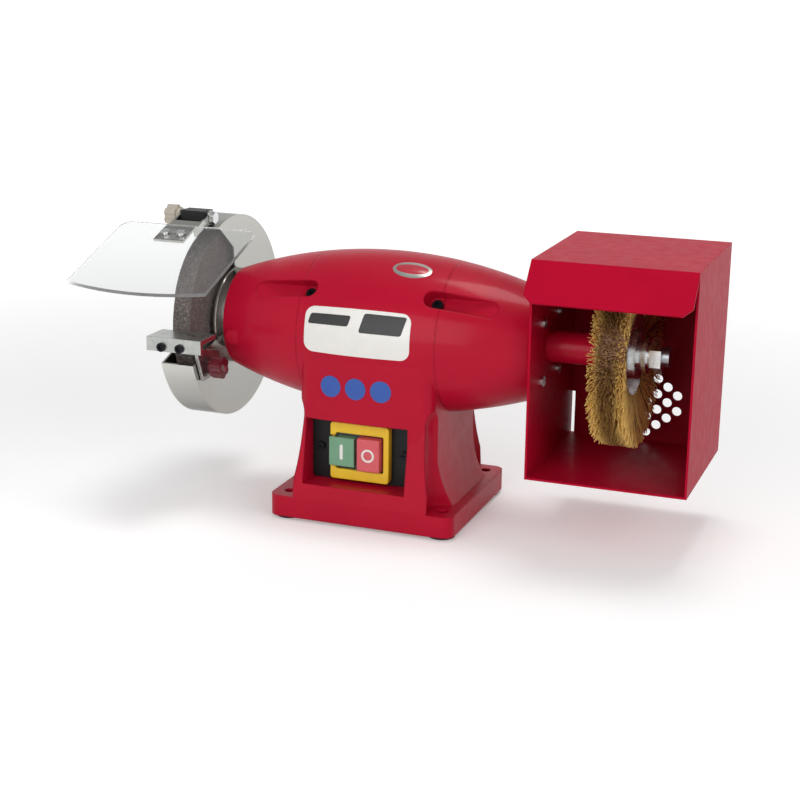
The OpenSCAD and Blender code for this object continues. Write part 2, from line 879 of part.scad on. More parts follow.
// Cable gland: flange and dome outside, threaded tail through the wall
module cable_gland() {
    rim = face_y + 2 * touch;
    dome = rim + gland_rim_t;
    color(black_plastic) difference() {
        union() {
            along_y(hollow_back - gland_tail, rim, 0, gland_z, gland_r);
            along_y(rim, dome, 0, gland_z, gland_r + gland_rim, 6);
            translate([0, dome, gland_z]) rotate([-90, 0, 0])
                cylinder(h = gland_dome, r1 = gland_r + gland_rim / 2, r2 = gland_r - over);
        }
        along_y(hollow_back - gland_tail - over, dome + gland_dome + over, 0, gland_z, cable_r);
    }
}

module gland_nut() {
    color(black_plastic) difference() {
        along_y(hollow_back - gland_rim_t, hollow_back - touch, 0, gland_z, gland_r + gland_rim, 6);
        along_y(hollow_back - gland_rim_t - over, hollow_back + over, 0, gland_z, gland_r + touch);
    }
}

// Ball bearing: outer ring in the bell, inner ring on the shaft, balls between
module bearing_outer(x) {
    color(steel) ring(x, x + bearing_w, bearing_out_r - ring_t, bearing_out_r);
}

module bearing_inner(x) {
    color(steel) ring(x, x + bearing_w, bearing_in_r, bearing_in_r + ring_t);
}

module bearing_balls(x) {
    space = bearing_out_r - bearing_in_r - 2 * ring_t;
    pitch = bearing_in_r + ring_t + space / 2;
    color(bright_zinc) for (i = [0:ball_count - 1])
        translate([x + bearing_w / 2, 0, axis_h]) rotate([i * 360 / ball_count, 0, 0])
            translate([0, 0, pitch]) sphere(r = space / 2 - ball_gap, $fn = 32);
}

module left_bearing_outer() { bearing_outer(left_bearing_x); }
module right_bearing_outer() { bearing_outer(right_bearing_x); }
module left_bearing_inner() { bearing_inner(left_bearing_x); }
module right_bearing_inner() { bearing_inner(right_bearing_x); }
module left_bearing_balls() { bearing_balls(left_bearing_x); }
module right_bearing_balls() { bearing_balls(right_bearing_x); }

// Washer that presses the left bearing's outer ring towards the end wall
module wave_washer() {
    color(steel) ring(left_bearing_x + bearing_w, left_bearing_x + bearing_w + wave_t,
        bearing_out_r - ring_t, bearing_out_r - loose);
}

// A point at an angle above the front horizontal, in a plate's own plane
function front_dir(angle, r) = [-cos(angle) * r, sin(angle) * r];

// The part of a guard plate that the opening cuts away
module guard_cutout() {
    difference() {
        polygon([
            [0, 0],
            [-mouth_corner_y, mouth_corner_z],
            front_dir(guard_open_up + mouth_step, guard_r + over),
            front_dir(guard_open_up - 7 * mouth_step, mouth_far),
            front_dir(guard_mid, mouth_far),
            front_dir(-guard_open_down, mouth_far)
        ]);
        circle(guard_hub_r);
    }
}

// The opening in the guard's band
module guard_mouth() {
    polygon([
        [0, 0],
        front_dir(guard_open_up, mouth_far),
        front_dir(guard_mid, mouth_far),
        front_dir(-guard_open_down, mouth_far)
    ]);
}

// Screws that hold the guard to the bell's end
module guard_screw_places(x0, x1, r) {
    for (a = [90, 210, 330])
        along_x(x0, x1, guard_screw_at * cos(a), axis_h + guard_screw_at * sin(a), r);
}

// Lugs that take the cover's screws
module lug_places(x0, x1, r) {
    for (a = lug_angles)
        along_x(x0, x1, -lug_at * cos(a), axis_h + lug_at * sin(a), r);
}

// Bright ring that sets the guard off from the bell
module guard_spacer() {
    color(bright_sheet) difference() {
        ring(guard_seat, -left_len, guard_bore_r, spacer_r);
        guard_screw_places(guard_seat - over, over - left_len, guard_screw_r + touch);
    }
}

module guard_body() {
    color(bright_sheet) difference() {
        union() {
            plate_x(guard_inside, guard_seat) difference() {
                circle(r = guard_r, $fn = 128);
                guard_cutout();
                circle(guard_bore_r);
            }
            plate_x(guard_cover_x, guard_inside) difference() {
                circle(r = guard_r, $fn = 128);
                circle(r = guard_r - guard_t, $fn = 128);
                guard_mouth();
            }
            lug_places(guard_cover_x, guard_cover_x + lug_len, lug_r);
        }
        lug_places(guard_cover_x - over, guard_cover_x + lug_len - over, lug_screw_r + touch);
        guard_screw_places(guard_inside - over, guard_seat + over, guard_screw_r + touch);
        block_screw_place(guard_r - guard_t - over, guard_r + over, block_screw_r + touch);
        along_x(guard_inside - over, guard_seat + over, stud_y, stud_z, stud_r + touch);
    }
}

// Outer cover with a drawn dome over the wheel nut
module guard_cover() {
    color(bright_sheet) difference() {
        union() {
            plate_x(guard_face, guard_cover_x) difference() {
                circle(r = guard_r, $fn = 128);
                guard_cutout();
            }
            on_shaft(guard_cover_x - guard_t / 2, dome_end - guard_t, dome_r);
        }
        on_shaft(guard_cover_x + over, dome_end, dome_r - guard_t);
        lug_places(guard_face - over, guard_cover_x + over, lug_screw_r + touch);
    }
}

module guard_screws() {
    color(steel) {
        guard_screw_places(guard_inside, end_screw_in - left_len, guard_screw_r);
        guard_screw_places(guard_inside - flat_head, guard_inside, guard_screw_r * head_wide);
    }
}

module guard_cover_screws() {
    head = guard_face - lug_screw_r * head_tall;
    color(steel) {
        lug_places(guard_face, guard_cover_x + lug_len - 2 * over, lug_screw_r);
        difference() {
            lug_places(head, guard_face, lug_screw_r * head_wide);
            lug_places(head - over, guard_face - lug_screw_r / 2, lug_screw_r * socket_wide);
        }
    }
}

// Stud on the guard's plate that the rest's arm slides along
module rest_stud() {
    color(steel) {
        along_x(guard_inside - stud_head, arm_far + knob_len + over, stud_y, stud_z, stud_r);
        along_x(guard_inside - stud_head, guard_inside, stud_y, stud_z, stud_r * head_wide);
    }
}

// Tool rest: table, front lip and the slotted arm beside the guard's plate
module tool_rest() {
    arm_top = stud_z + arm_half;
    color("#A9ABAA") difference() {
        union() {
            box([rest_left, rest_front, rest_top - rest_t], [rest_right, rest_back, rest_top]);
            box([rest_left, rest_front, lip_low], [rest_right, rest_front + rest_t, rest_top]);
            translate([arm_near, 0, 0]) rotate([90, 0, 90]) linear_extrude(arm_t) polygon([
                [rest_front + over, lip_low],
                [rest_back - arm_set, lip_low - arm_set],
                [slot_front - slot_end, arm_low],
                [arm_back, arm_low],
                [arm_back, arm_top],
                [rest_back - over, arm_top + arm_half],
                [rest_back - over, rest_top - over],
                [rest_front + over, rest_top - over]
            ]);
        }
        for (y = [slot_front, slot_back])
            along_x(arm_near - over, arm_far + over, y, stud_z, slot_r);
        box([arm_near - over, slot_front, stud_z - slot_r], [arm_far + over, slot_back, stud_z + slot_r]);
        rest_screw_places(rest_front - over, rest_front + rest_t + over, rest_screw_r + touch);
    }
}

// The two screws in the rest's lip
module rest_screw_places(y0, y1, r) {
    z = (lip_low + rest_top - rest_t) / 2;
    for (s = [0, 1])
        along_y(y0, y1, rest_left + rest_screw_at + s * rest_screw_pitch, z, r);
}

module rest_screws() {
    head = rest_front - flat_head;
    color(black_plastic) difference() {
        union() {
            rest_screw_places(rest_front, rest_front + rest_t, rest_screw_r);
            rest_screw_places(head, rest_front, rest_screw_r * rest_head_wide);
        }
        rest_screw_places(head - over, rest_front - flat_head / 4, rest_screw_r * socket_wide);
    }
}

// A clamp knob with finger scallops, standing off its seat along X towards one side
module clamp_knob(seat, side, y, z, bore) {
    neck = seat + side * knob_neck;
    end = seat + side * (knob_len - loose);
    color(black_plastic) difference() {
        union() {
            along_x(neck, end, y, z, knob_r);
            along_x(seat, neck, y, z, knob_r - knob_neck);
        }
        along_x(seat - side * over, end + side * over, y, z, bore);
        for (a = [0:60:300])
            along_x(neck - side * over, end + side * over, y + scallop_at * cos(a), z + scallop_at * sin(a),
                scallop_r);
    }
}

module rest_knob() {
    clamp_knob(arm_far + loose, 1, stud_y, stud_z, stud_r + touch);
}

// The screw that holds the pivot block to the guard's band, square to the band
module block_screw_place(r0, r1, r) {
    angle = acos(-pivot_y / guard_r);
    translate([(block_left + block_right) / 2, 0, axis_h]) rotate([90 - angle, 0, 0])
        translate([0, 0, r0]) cylinder(h = r1 - r0, r = r);
}

module shield_block() {
    color(black_plastic) difference() {
        box([block_left, pivot_y - block_half, axis_h + guard_r / 2],
            [block_right, pivot_y + block_half, block_top]);
        on_shaft(block_left - over, block_right + over, guard_r + touch);
        along_x(block_left - over, block_right + over, pivot_y, pivot_z, pivot_r + touch);
        block_screw_place(guard_r - over, guard_r + block_screw_in + touch, block_screw_r + touch);
    }
}

module shield_block_screw() {
    head_r = block_screw_r * head_wide;
    seat = sqrt(pow(guard_r - guard_t, 2) - head_r * head_r);
    color(steel) {
        block_screw_place(seat - flat_head, guard_r + block_screw_in, block_screw_r);
        block_screw_place(seat - flat_head, seat - touch, head_r);
    }
}

module shield_bolt() {
    head = cheek_right + loose;
    color(steel) {
        along_x(cheek_left - knob_len - over, head, pivot_y, pivot_z, pivot_r);
        along_x(head, head + bolt_head, pivot_y, pivot_z, pivot_r * head_wide, 6);
    }
}

// Frame of the shield: at the pivot, sloping down to the front
module in_shield_frame() {
    translate([0, pivot_y, pivot_z]) rotate([shield_tilt, 0, 0]) children();
}

// Steel arm: two cheeks round the pivot block and a plate under the shield
module shield_arm() {
    color(bright_sheet) in_shield_frame() difference() {
        union() {
            box([cheek_left, -arm_reach, arm_level], [cheek_right, -arm_start, shield_level]);
            for (x = [cheek_left, cheek_right - cheek_t]) {
                box([x, -cheek_reach, -cheek_low], [x + cheek_t, 0, shield_level]);
                along_x(x, x + cheek_t, 0, 0, 2 * pivot_r);
            }
        }
        along_x(cheek_left - over, cheek_right + over, 0, 0, pivot_r + touch);
        shield_screw_places(arm_level - over, shield_level + over, shield_screw_r + touch);
    }
}

// Two screws through the shield and its arm, in the shield's frame
module shield_screw_places(z0, z1, r, sides = 64) {
    for (s = [-1, 1])
        translate([(cheek_left + cheek_right) / 2 + s * shield_screw_gap / 2, -shield_screw_y, z0])
            cylinder(h = z1 - z0, r = r, $fn = sides);
}

module eye_shield() {
    edge_r = (shield_w * shield_w / 4 + shield_bulge * shield_bulge) / (2 * shield_bulge);
    color([0.85, 0.9, 0.92, 0.35]) in_shield_frame() difference() {
        translate([shield_mid, -shield_back - shield_l / 2, shield_level]) linear_extrude(shield_t)
            intersection() {
                rounded_rect(shield_w, shield_l, shield_corner_r);
                translate([0, edge_r - shield_l / 2]) circle(r = edge_r, $fn = 180);
            }
        shield_screw_places(shield_level - over, shield_level + shield_t + over, shield_screw_r + touch);
    }
}

module shield_screws() {
    top = shield_level + shield_t;
    color(steel) in_shield_frame() {
        shield_screw_places(arm_level - shield_nut - over, top, shield_screw_r);
        shield_screw_places(top, top + flat_head, shield_screw_r * head_wide);
        shield_screw_places(arm_level - shield_nut, arm_level, shield_screw_r * head_wide, 6);
    }
}

module shield_knob() {
    clamp_knob(cheek_left - loose, -1, pivot_y, pivot_z, pivot_r + touch);
}

// Folded hood: floor, top and two side walls, with the slanting lip at the front
module brush_hood() {
    color(paint_red) {
        difference() {
            box([hood_left, -hood_front, hood_floor], [hood_right, hood_back, hood_top]);
            box([hood_left + hood_t, -hood_front - over, hood_floor + hood_t],
                [hood_right - hood_t, hood_back + over, hood_top - hood_t]);
            on_shaft(hood_left - over, hood_left + hood_t + over, nose_r + nose_gap);
            hood_screw_places(hood_left - over, hood_left + hood_t + over, hood_screw_r + touch);
        }
        hood_lip();
    }
}

// The lip is folded forward and down from the top, with its lower corners clipped
module hood_lip() {
    fold = atan2(lip_fall, lip_reach);
    fold_in = hood_t * tan(fold / 2);
    difference() {
        translate([hood_left, 0, 0]) rotate([90, 0, 90]) linear_extrude(hood_w) polygon([
            [-hood_front + lip_lap, hood_top],
            [-hood_front, hood_top],
            [-hood_front - lip_reach, hood_top - lip_fall],
            [-hood_front - lip_reach + hood_t * sin(fold), hood_top - lip_fall - hood_t * cos(fold)],
            [-hood_front + fold_in, hood_top - hood_t],
            [-hood_front + lip_lap, hood_top - hood_t]
        ]);
        for (x = [hood_left, hood_right])
            translate([x, -hood_front - lip_reach, hood_top - lip_fall]) rotate([fold, 0, 0])
                rotate([0, 0, 45])
                    cube([lip_clip * sqrt(2), lip_clip * sqrt(2), 4 * hood_t], center = true);
    }
}

// Places of the screws that hold the hood to the right bell
module hood_screw_places(x0, x1, r) {
    for (a = [45, 135, 225, 315])
        along_x(x0, x1, hood_screw_at * cos(a), axis_h + hood_screw_at * sin(a), r);
}

module hood_screws() {
    seat = hood_left + hood_t;
    head_h = hood_screw_r * head_tall;
    color(bright_zinc) {
        hood_screw_places(right_len - end_screw_in, seat, hood_screw_r);
        difference() {
            hood_screw_places(seat, seat + head_h, hood_screw_r * head_wide);
            hood_screw_places(seat + head_h / 2, seat + head_h + over, hood_screw_r * socket_wide);
        }
    }
}

// Back panel with a staggered field of dust holes and a drain notch
module hood_back_panel() {
    middle = (len(dust_rows) - 1) / 2;
    color(dark_red) difference() {
        box([hood_left + hood_t + touch, hood_back - hood_t, hood_floor + hood_t + touch],
            [hood_right - hood_t - touch, hood_back, hood_top - hood_t - touch]);
        for (c = [0:len(dust_rows) - 1], k = [0:dust_rows[c] - 1])
            along_y(hood_back - hood_t - over, hood_back + over,
                dust_x + (c - middle) * dust_pitch * dust_stagger,
                dust_z + (k - (dust_rows[c] - 1) / 2) * dust_pitch, dust_hole_r, 32);
        box([hood_left, hood_back - hood_t - over, hood_floor],
            [hood_left + hood_t + notch_w, hood_back + over, hood_floor + hood_t + notch_h]);
    }
}

// Stepped shaft from the wheel's end to the brush's end
module shaft() {
    color(steel) {
        on_shaft(left_tip, nut_seat, thread_r);
        on_shaft(nut_seat, wheel_shoulder, arbor_r);
        on_shaft(wheel_shoulder, left_bearing_x + bearing_w, bearing_in_r - shaft_fit);
        on_shaft(left_bearing_x + bearing_w, right_bearing_x, shaft_r);
        on_shaft(right_bearing_x, brush_shoulder, bearing_in_r - shaft_fit);
        on_shaft(brush_shoulder, brush_nut_x, arbor_r);
        on_shaft(brush_nut_x, right_tip, thread_r);
    }
}

module rotor_core() {
    color("#7C8086") ring(-stator_len / 2, stator_len / 2, shaft_r + shaft_fit, stator_in_r - air_gap);
}

// Cast end rings with fan blades
module rotor_end_rings() {
    start = stator_len / 2;
    color("#B9BCBF") for (s = [0, 1]) mirror([s, 0, 0]) {
        ring(start, start + end_ring_w, end_ring_in, end_ring_out);
        for (i = [0:7])
            translate([0, 0, axis_h]) rotate([i * 45, 0, 0])
                box([start + end_ring_w - over, -blade_t / 2, blade_low],
                    [start + end_ring_w + blade_len, blade_t / 2, blade_high]);
    }
}

module wheel_inner_flange() {
    color(steel) {
        ring(flange_disc, wheel_shoulder, arbor_r + shaft_fit, wheel_hub_r);
        ring(blotter_in, flange_disc, arbor_r + shaft_fit, flange_r);
    }
}

module wheel_outer_flange() {
    color(steel) ring(nut_seat, blotter_out, arbor_r + shaft_fit, flange_r);
}

module wheel_blotters() {
    color("#B4483C") {
        ring(wheel_in, blotter_in, arbor_r + shaft_fit, flange_r + blotter_edge);
        ring(blotter_out, wheel_out, arbor_r + shaft_fit, flange_r + blotter_edge);
    }
}

module grinding_wheel() {
    color("#4B4643") ring(wheel_out, wheel_in, arbor_r + shaft_fit, wheel_r);
}

module wheel_nut() {
    color(steel) difference() {
        along_x(nut_seat - nut_h, nut_seat, 0, axis_h, nut_af / 2 / cos(30), 6);
        on_shaft(nut_seat - nut_h - over, nut_seat + over, thread_r + shaft_fit);
    }
}

module brush_inner_flange() {
    color(steel) {
        ring(brush_shoulder, brush_disc, arbor_r + shaft_fit, brush_boss_r);
        ring(brush_disc, brush_plate, arbor_r + shaft_fit, brush_flange_r);
    }
}

// Brush hub: a core and two side plates that hold the wires' backing
module brush_hub() {
    color(bright_zinc) {
        ring(brush_plate, brush_plate + side_plate_t, arbor_r + shaft_fit, side_plate_r);
        ring(brush_plate + side_plate_t, brush_far - side_plate_t, arbor_r + shaft_fit, hub_r);
        ring(brush_far - side_plate_t, brush_far, arbor_r + shaft_fit, side_plate_r);
    }
}

// Wires: a ring of cells, where every other cell is drawn out into a four-sided strand
wire_in_r = hub_r + loose;
wire_tip_pitch = brush_rim_w / wire_rows;
wire_tip_share = 0.42;
wire_tip_x = wire_tip_pitch * wire_tip_share;
wire_tip_a = 360 / wire_cells * wire_tip_share;
grid_count = wire_cells * (wire_rows + 1);
function ring_point(a, x, r) = [x, r * cos(a), axis_h + r * sin(a)];
function wire_length(i, j) = brush_r - 0.4 * ((3 * i + 7 * j) % 5);
function is_strand(i, j) = (i + j) % 2 == 0;
function grid_at(i, j) = j * wire_cells + i % wire_cells;
function bore_at(i, side) = grid_count + side * wire_cells + i % wire_cells;
function tip_at(i, j, k) = grid_count + 2 * wire_cells + 4 * (j * wire_cells / 2 + floor(i / 2)) + k;
function wire_points() = concat(
    [for (j = [0:wire_rows], i = [0:wire_cells - 1])
        ring_point(i * 360 / wire_cells, brush_mid + (j / wire_rows - 0.5) * brush_ring_w, wire_root_r)],
    [for (side = [0, 1], i = [0:wire_cells - 1])
        ring_point(i * 360 / wire_cells, brush_mid + (side - 0.5) * brush_ring_w, wire_in_r)],
    [for (j = [0:wire_rows - 1], i = [j % 2:2:wire_cells - 1], k = [0:3])
        ring_point((i + 0.5) * 360 / wire_cells + (k == 1 || k == 2 ? 1 : -1) * wire_tip_a,
            brush_mid + (j + 0.5 - wire_rows / 2) * wire_tip_pitch + (k > 1 ? 1 : -1) * wire_tip_x,
            wire_length(i, j))]
);
function quad(a, b, c, d) = [[a, b, c], [a, c, d]];
function cell_corners(i, j) = [grid_at(i, j), grid_at(i + 1, j), grid_at(i + 1, j + 1), grid_at(i, j + 1)];
function cell_face(i, j) = let (c = cell_corners(i, j)) quad(c[0], c[1], c[2], c[3]);
function strand_faces(i, j) = let (c = cell_corners(i, j), t = [for (k = [0:3]) tip_at(i, j, k)])
    concat(
        [for (k = [0:3], f = quad(c[k], c[(k + 1) % 4], t[(k + 1) % 4], t[k])) f],
        quad(t[0], t[1], t[2], t[3])
    );
function wire_faces() = concat(
    [for (j = [0:wire_rows - 1], i = [0:wire_cells - 1],
        f = is_strand(i, j) ? strand_faces(i, j) : cell_face(i, j)) f],
    [for (i = [0:wire_cells - 1], f = concat(
        quad(bore_at(i, 0), bore_at(i + 1, 0), grid_at(i + 1, 0), grid_at(i, 0)),
        quad(grid_at(i, wire_rows), grid_at(i + 1, wire_rows), bore_at(i + 1, 1), bore_at(i, 1)),
        quad(bore_at(i, 1), bore_at(i + 1, 1), bore_at(i + 1, 0), bore_at(i, 0)))) f]
);

module brush_wires() {
    color("#9A7A3C") polyhedron(points = wire_points(), faces = wire_faces());
}

module brush_outer_flange() {
    color(steel) {
        ring(brush_far, brush_boss, arbor_r + shaft_fit, brush_flange_r);
        ring(brush_boss, brush_washer_x, arbor_r + shaft_fit, brush_boss_r);
    }
}

module brush_washer() {
    color(bright_zinc) ring(brush_washer_x, brush_nut_x, arbor_r + shaft_fit, washer_r);
}

module brush_nut() {
    hex_x = brush_nut_x + brush_collar;
    color(bright_zinc) difference() {
        union() {
            on_shaft(brush_nut_x, hex_x, collar_r);
            along_x(hex_x, hex_x + brush_nut_h, 0, axis_h, nut_af / 2 / cos(30), 6);
        }
        on_shaft(brush_nut_x - over, hex_x + brush_nut_h + over, thread_r + shaft_fit);
    }
}

// The start button's cap reaches over the bezel's left bar, which is cut back so that it can be pressed
module start_button() {
    color("#5E9A66") {
        button_box(start_x, start_w, start_h, start_face, button_back);
        button_box(cap_left + cap_w / 2, cap_w, start_h, start_face, bezel_face);
    }
}

module stop_button() {
    color("#C8323A") button_box(stop_x, stop_w, stop_h, stop_face, button_back);
}

motor_housing();
left_end_bell();
right_end_bell();
bell_screws();
bottom_cover();
bottom_cover_screws();
rubber_feet();
stator_core();
stator_windings();
capacitor();
capacitor_clip();
switch_plate();
switch_body();
switch_bezel();
switch_screws();
cable_gland();
gland_nut();
left_bearing_outer();
right_bearing_outer();
wave_washer();
guard_spacer();
guard_body();
guard_cover();
guard_screws();
guard_cover_screws();
rest_stud();
shield_block();
shield_block_screw();
shield_bolt();
brush_hood();
hood_back_panel();
hood_screws();
shaft();
rotor_core();
rotor_end_rings();
left_bearing_inner();
left_bearing_balls();
right_bearing_inner();
right_bearing_balls();
wheel_inner_flange();
wheel_outer_flange();
wheel_blotters();
grinding_wheel();
wheel_nut();
brush_inner_flange();
brush_hub();
brush_wires();
brush_outer_flange();
brush_washer();
brush_nut();
start_button();
stop_button();
shield_arm();
eye_shield();
shield_screws();
shield_knob();
tool_rest();
rest_screws();
rest_knob();
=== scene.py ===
"""Finishes, printed films, brush wires and studio for a combination bench grinder."""
import json
import math

import bmesh
import bpy
from bpy.props import FloatProperty, FloatVectorProperty, IntProperty, PointerProperty
from bpy.types import NodeSocket, Operator, Panel, PropertyGroup
from mathutils import Euler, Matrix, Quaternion, Vector


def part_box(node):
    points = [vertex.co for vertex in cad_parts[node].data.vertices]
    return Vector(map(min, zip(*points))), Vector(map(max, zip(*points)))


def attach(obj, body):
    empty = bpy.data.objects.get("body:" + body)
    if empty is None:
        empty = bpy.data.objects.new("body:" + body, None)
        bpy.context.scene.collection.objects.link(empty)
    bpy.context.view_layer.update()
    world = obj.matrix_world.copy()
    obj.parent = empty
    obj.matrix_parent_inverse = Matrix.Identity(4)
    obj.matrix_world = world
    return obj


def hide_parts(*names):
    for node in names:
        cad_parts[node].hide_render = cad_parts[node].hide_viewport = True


bl_info = {
    "name": "Combination bench grinder",
    "version": (1, 0, 0),
    "blender": (4, 5, 0),
    "location": "3D View > Sidebar > Grinder",
    "description": "Dresses the solids of a bench grinder with a wheel and a wire brush",
    "category": "Object",
}

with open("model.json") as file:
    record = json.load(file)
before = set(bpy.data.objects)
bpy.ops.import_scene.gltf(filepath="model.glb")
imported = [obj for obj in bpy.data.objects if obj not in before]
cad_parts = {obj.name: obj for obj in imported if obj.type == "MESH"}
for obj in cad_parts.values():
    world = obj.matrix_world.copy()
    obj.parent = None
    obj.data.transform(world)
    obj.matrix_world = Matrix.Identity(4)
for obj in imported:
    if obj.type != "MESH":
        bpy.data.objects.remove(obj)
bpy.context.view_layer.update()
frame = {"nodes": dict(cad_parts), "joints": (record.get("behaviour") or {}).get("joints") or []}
NODES = frame["nodes"]

MM = 0.001
# Places that the films and the wires share with the solids
SHAFT_HEIGHT = next(j for j in frame["joints"] if j["name"] == "spindle_spin")["pos_m"][2]
BARREL_R = 67 * MM
CROWN_R = 388 * MM
COLUMN_FACE = 65.5 * MM
BRUSH_MIDDLE = sum(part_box("brush_hub")[i].x for i in (0, 1)) / 2

# Points of an outline or a film that lie closer than this are one point
SAME_POINT = 0.001 * MM
# A step in a solid that is too small to ease is merged away first
SMALL_STEP = 0.06 * MM
# Faces that meet within the first angle are one face; edges sharper than the second are eased
FLAT_ANGLE = math.radians(0.5)
SHARP_ANGLE = math.radians(35)

# Noise seldom leaves this range, so a finish is spread over it
NOISE_LOW, NOISE_HIGH = 0.3, 0.7


def linear(hex_text):
    """A linear colour from an sRGB hex value."""
    parts = [int(hex_text[i:i + 2], 16) / 255 for i in (1, 3, 5)]
    return [c / 12.92 if c <= 0.04045 else ((c + 0.055) / 1.055) ** 2.4 for c in parts]


def colour(label, hex_text, words):
    """A colour property with its default as an sRGB hex value."""
    return FloatVectorProperty(name=label, description=words, subtype="COLOR", size=3, min=0, max=1,
                               default=linear(hex_text))


def length(label, size_mm, words):
    """A length property with its default in millimetres."""
    return FloatProperty(name=label, description=words, default=size_mm * MM, unit="LENGTH")


def turn(label, radians, words):
    """An angle property with its default in radians."""
    return FloatProperty(name=label, description=words, subtype="ANGLE", default=radians)


def power(label, watts, words):
    """A lamp's power with its default in watts."""
    return FloatProperty(name=label, description=words, default=watts, min=0)


class GrinderFinishes(PropertyGroup):
    """Colours of the painted, plated and moulded pieces."""

    enamel: colour("Enamel", "#B20A2C", "Stoved enamel on the castings and the hood")
    # Painted shade: a darker red for the back panel, which stands inside the hood where shade falls
    enamel_shaded_inside: colour("Enamel inside", "#8A0A20", "Enamel darkened as painted shade on the hood's back panel")
    aluminium: colour("Aluminium", "#C6C5C0", "Polished sheet of the wheel guard")
    zinc: colour("Zinc", "#D9DBDC", "Bright zinc on the hub, washer, nut and small screws")
    steel: colour("Steel", "#A3A7AB", "Turned steel of the shaft and flanges")
    bezel: colour("Bezel", "#E9C022", "Yellow switch bezel")
    start: colour("Start", "#6E9C7C", "Start button")
    stop: colour("Stop", "#D2565E", "Stop button")
    abrasive: colour("Abrasive", "#5E5652", "Bonded grain of the wheel")
    brass: colour("Brass", "#FFD980", "Brush wires at the brush's edges")
    # Painted shade: this darker brown stands in for the shade in the brush's middle
    brass_painted_shade: colour("Dark brass", "#7E4F26", "Brush wires in the brush's middle")


class GrinderBrush(PropertyGroup):
    """Sizes of the wire brush."""

    wires: IntProperty(name="Wires", description="Wires in the brush", default=5200,
                       min=300, max=7000)
    wire_width: length("Wire width", 0.7, "Thickness of a wire as drawn")
    root_radius: length("Root radius", 28.5, "Radius at which the wires leave the hub")
    tip_radius: length("Tip radius", 75, "Radius of the brush's rim")
    root_width: length("Root width", 10.4, "Width of the wires at the hub")
    rim_width: length("Rim width", 31, "Width of the wires at the rim")


class GrinderFilms(PropertyGroup):
    """Sizes of the printed films on the casting."""

    label_width: length("Label width", 92, "Length of the front label")
    label_height: length("Label height", 39, "Height of the front label")
    badge_width: length("Badge width", 33, "Length of the oval badge")
    badge_height: length("Badge height", 20, "Height of the oval badge")
    disc_width: length("Disc width", 18, "Diameter of the blue discs")


class GrinderStage(PropertyGroup):
    """Camera, lamps and floor."""

    camera_place: FloatVectorProperty(name="Camera place", description="Where the camera stands",
                                      subtype="TRANSLATION", default=(0.47254, -1.24068, 0.47022))
    camera_turn: turn("Camera turn", 0.3579, "Turn of the camera to the left")
    camera_drop: turn("Camera drop", 0.2770, "How far the camera looks down")
    camera_roll: turn("Camera roll", 0.0122, "Roll of the camera")
    lens: FloatProperty(name="Lens", description="Focal length in millimetres", default=73.05,
                        min=10)
    overhead: power("Overhead", 8, "Power of the overhead lamp in watts")
    front: power("Front", 11, "Power of the front lamp in watts")
    side: power("Side", 8, "Power of the side lamp in watts")
    floor: colour("Floor", "#F2F2F2", "Pale studio floor")


def add(tree, kind, inputs=None, **settings):
    """Adds a node: settings are its properties, inputs its values or the sockets that feed it."""
    node = tree.nodes.new(kind)
    for name, value in settings.items():
        setattr(node, name, value)
    for key, value in (inputs or {}).items():
        if isinstance(value, NodeSocket):
            tree.links.new(value, node.inputs[key])
        else:
            node.inputs[key].default_value = value
    return node


def calc(tree, operation, *values):
    """The result of a Math node on numbers or sockets."""
    return add(tree, "ShaderNodeMath", dict(enumerate(values)), operation=operation).outputs[0]


def vector_calc(tree, operation, *values):
    """The result of a Vector Math node: a vector, a length or a dot product."""
    node = add(tree, "ShaderNodeVectorMath", dict(enumerate(values)), operation=operation)
    return node.outputs["Value" if operation in ("LENGTH", "DOT_PRODUCT") else "Vector"]


def per_mm(size):
    """Texture scale, in Blender's metres, for a pattern of that size in millimetres."""
    return 1000 / size


def rgba(colour_value, shade=1.0):
    """A colour with full alpha, lighter or darker by a factor."""
    return [min(c * shade, 1) for c in colour_value] + [1]


def object_place(tree):
    """A point's place on its own object."""
    return add(tree, "ShaderNodeTexCoord").outputs["Object"]


def noise(tree, at, size_mm, detail):
    """Cloudy noise with features of about that size."""
    inputs = {"Vector": at, "Scale": per_mm(size_mm), "Detail": detail}
    return add(tree, "ShaderNodeTexNoise", inputs).outputs["Fac"]


def between(tree, factor, low, high, start=NOISE_LOW, end=NOISE_HIGH, **settings):
    """A value that runs from low to high while the factor runs from start to end."""
    inputs = {0: factor, 1: start, 2: end, 3: low, 4: high}
    return add(tree, "ShaderNodeMapRange", inputs, **settings).outputs[0]


def blend(tree, factor, first, second, **settings):
    """A colour that runs from the first to the second with the factor."""
    inputs = {0: factor, 6: first, 7: second}
    return add(tree, "ShaderNodeMix", inputs, data_type="RGBA", **settings).outputs[2]


def shades(tree, factor, tint, first, second):
    """A tint that runs from one shade of itself to another with the factor."""
    return blend(tree, factor, rgba(tint, first), rgba(tint, second))


def relief(tree, height, strength, depth_mm, **over):
    """A normal that shows a height as fine relief, over another Normal where one is given."""
    inputs = {"Height": height, "Strength": strength, "Distance": depth_mm * MM, **over}
    return add(tree, "ShaderNodeBump", inputs).outputs["Normal"]


def blank(name):
    """A material without nodes, and its tree."""
    material = bpy.data.materials.new(name)
    material.use_nodes = True
    material.node_tree.nodes.clear()
    return material, material.node_tree


def principled(material, inputs):
    """Ends a material with a Principled shader that has these inputs, and returns it."""
    shader = add(material.node_tree, "ShaderNodeBsdfPrincipled", inputs)
    add(material.node_tree, "ShaderNodeOutputMaterial", {"Surface": shader.outputs[0]})
    return material


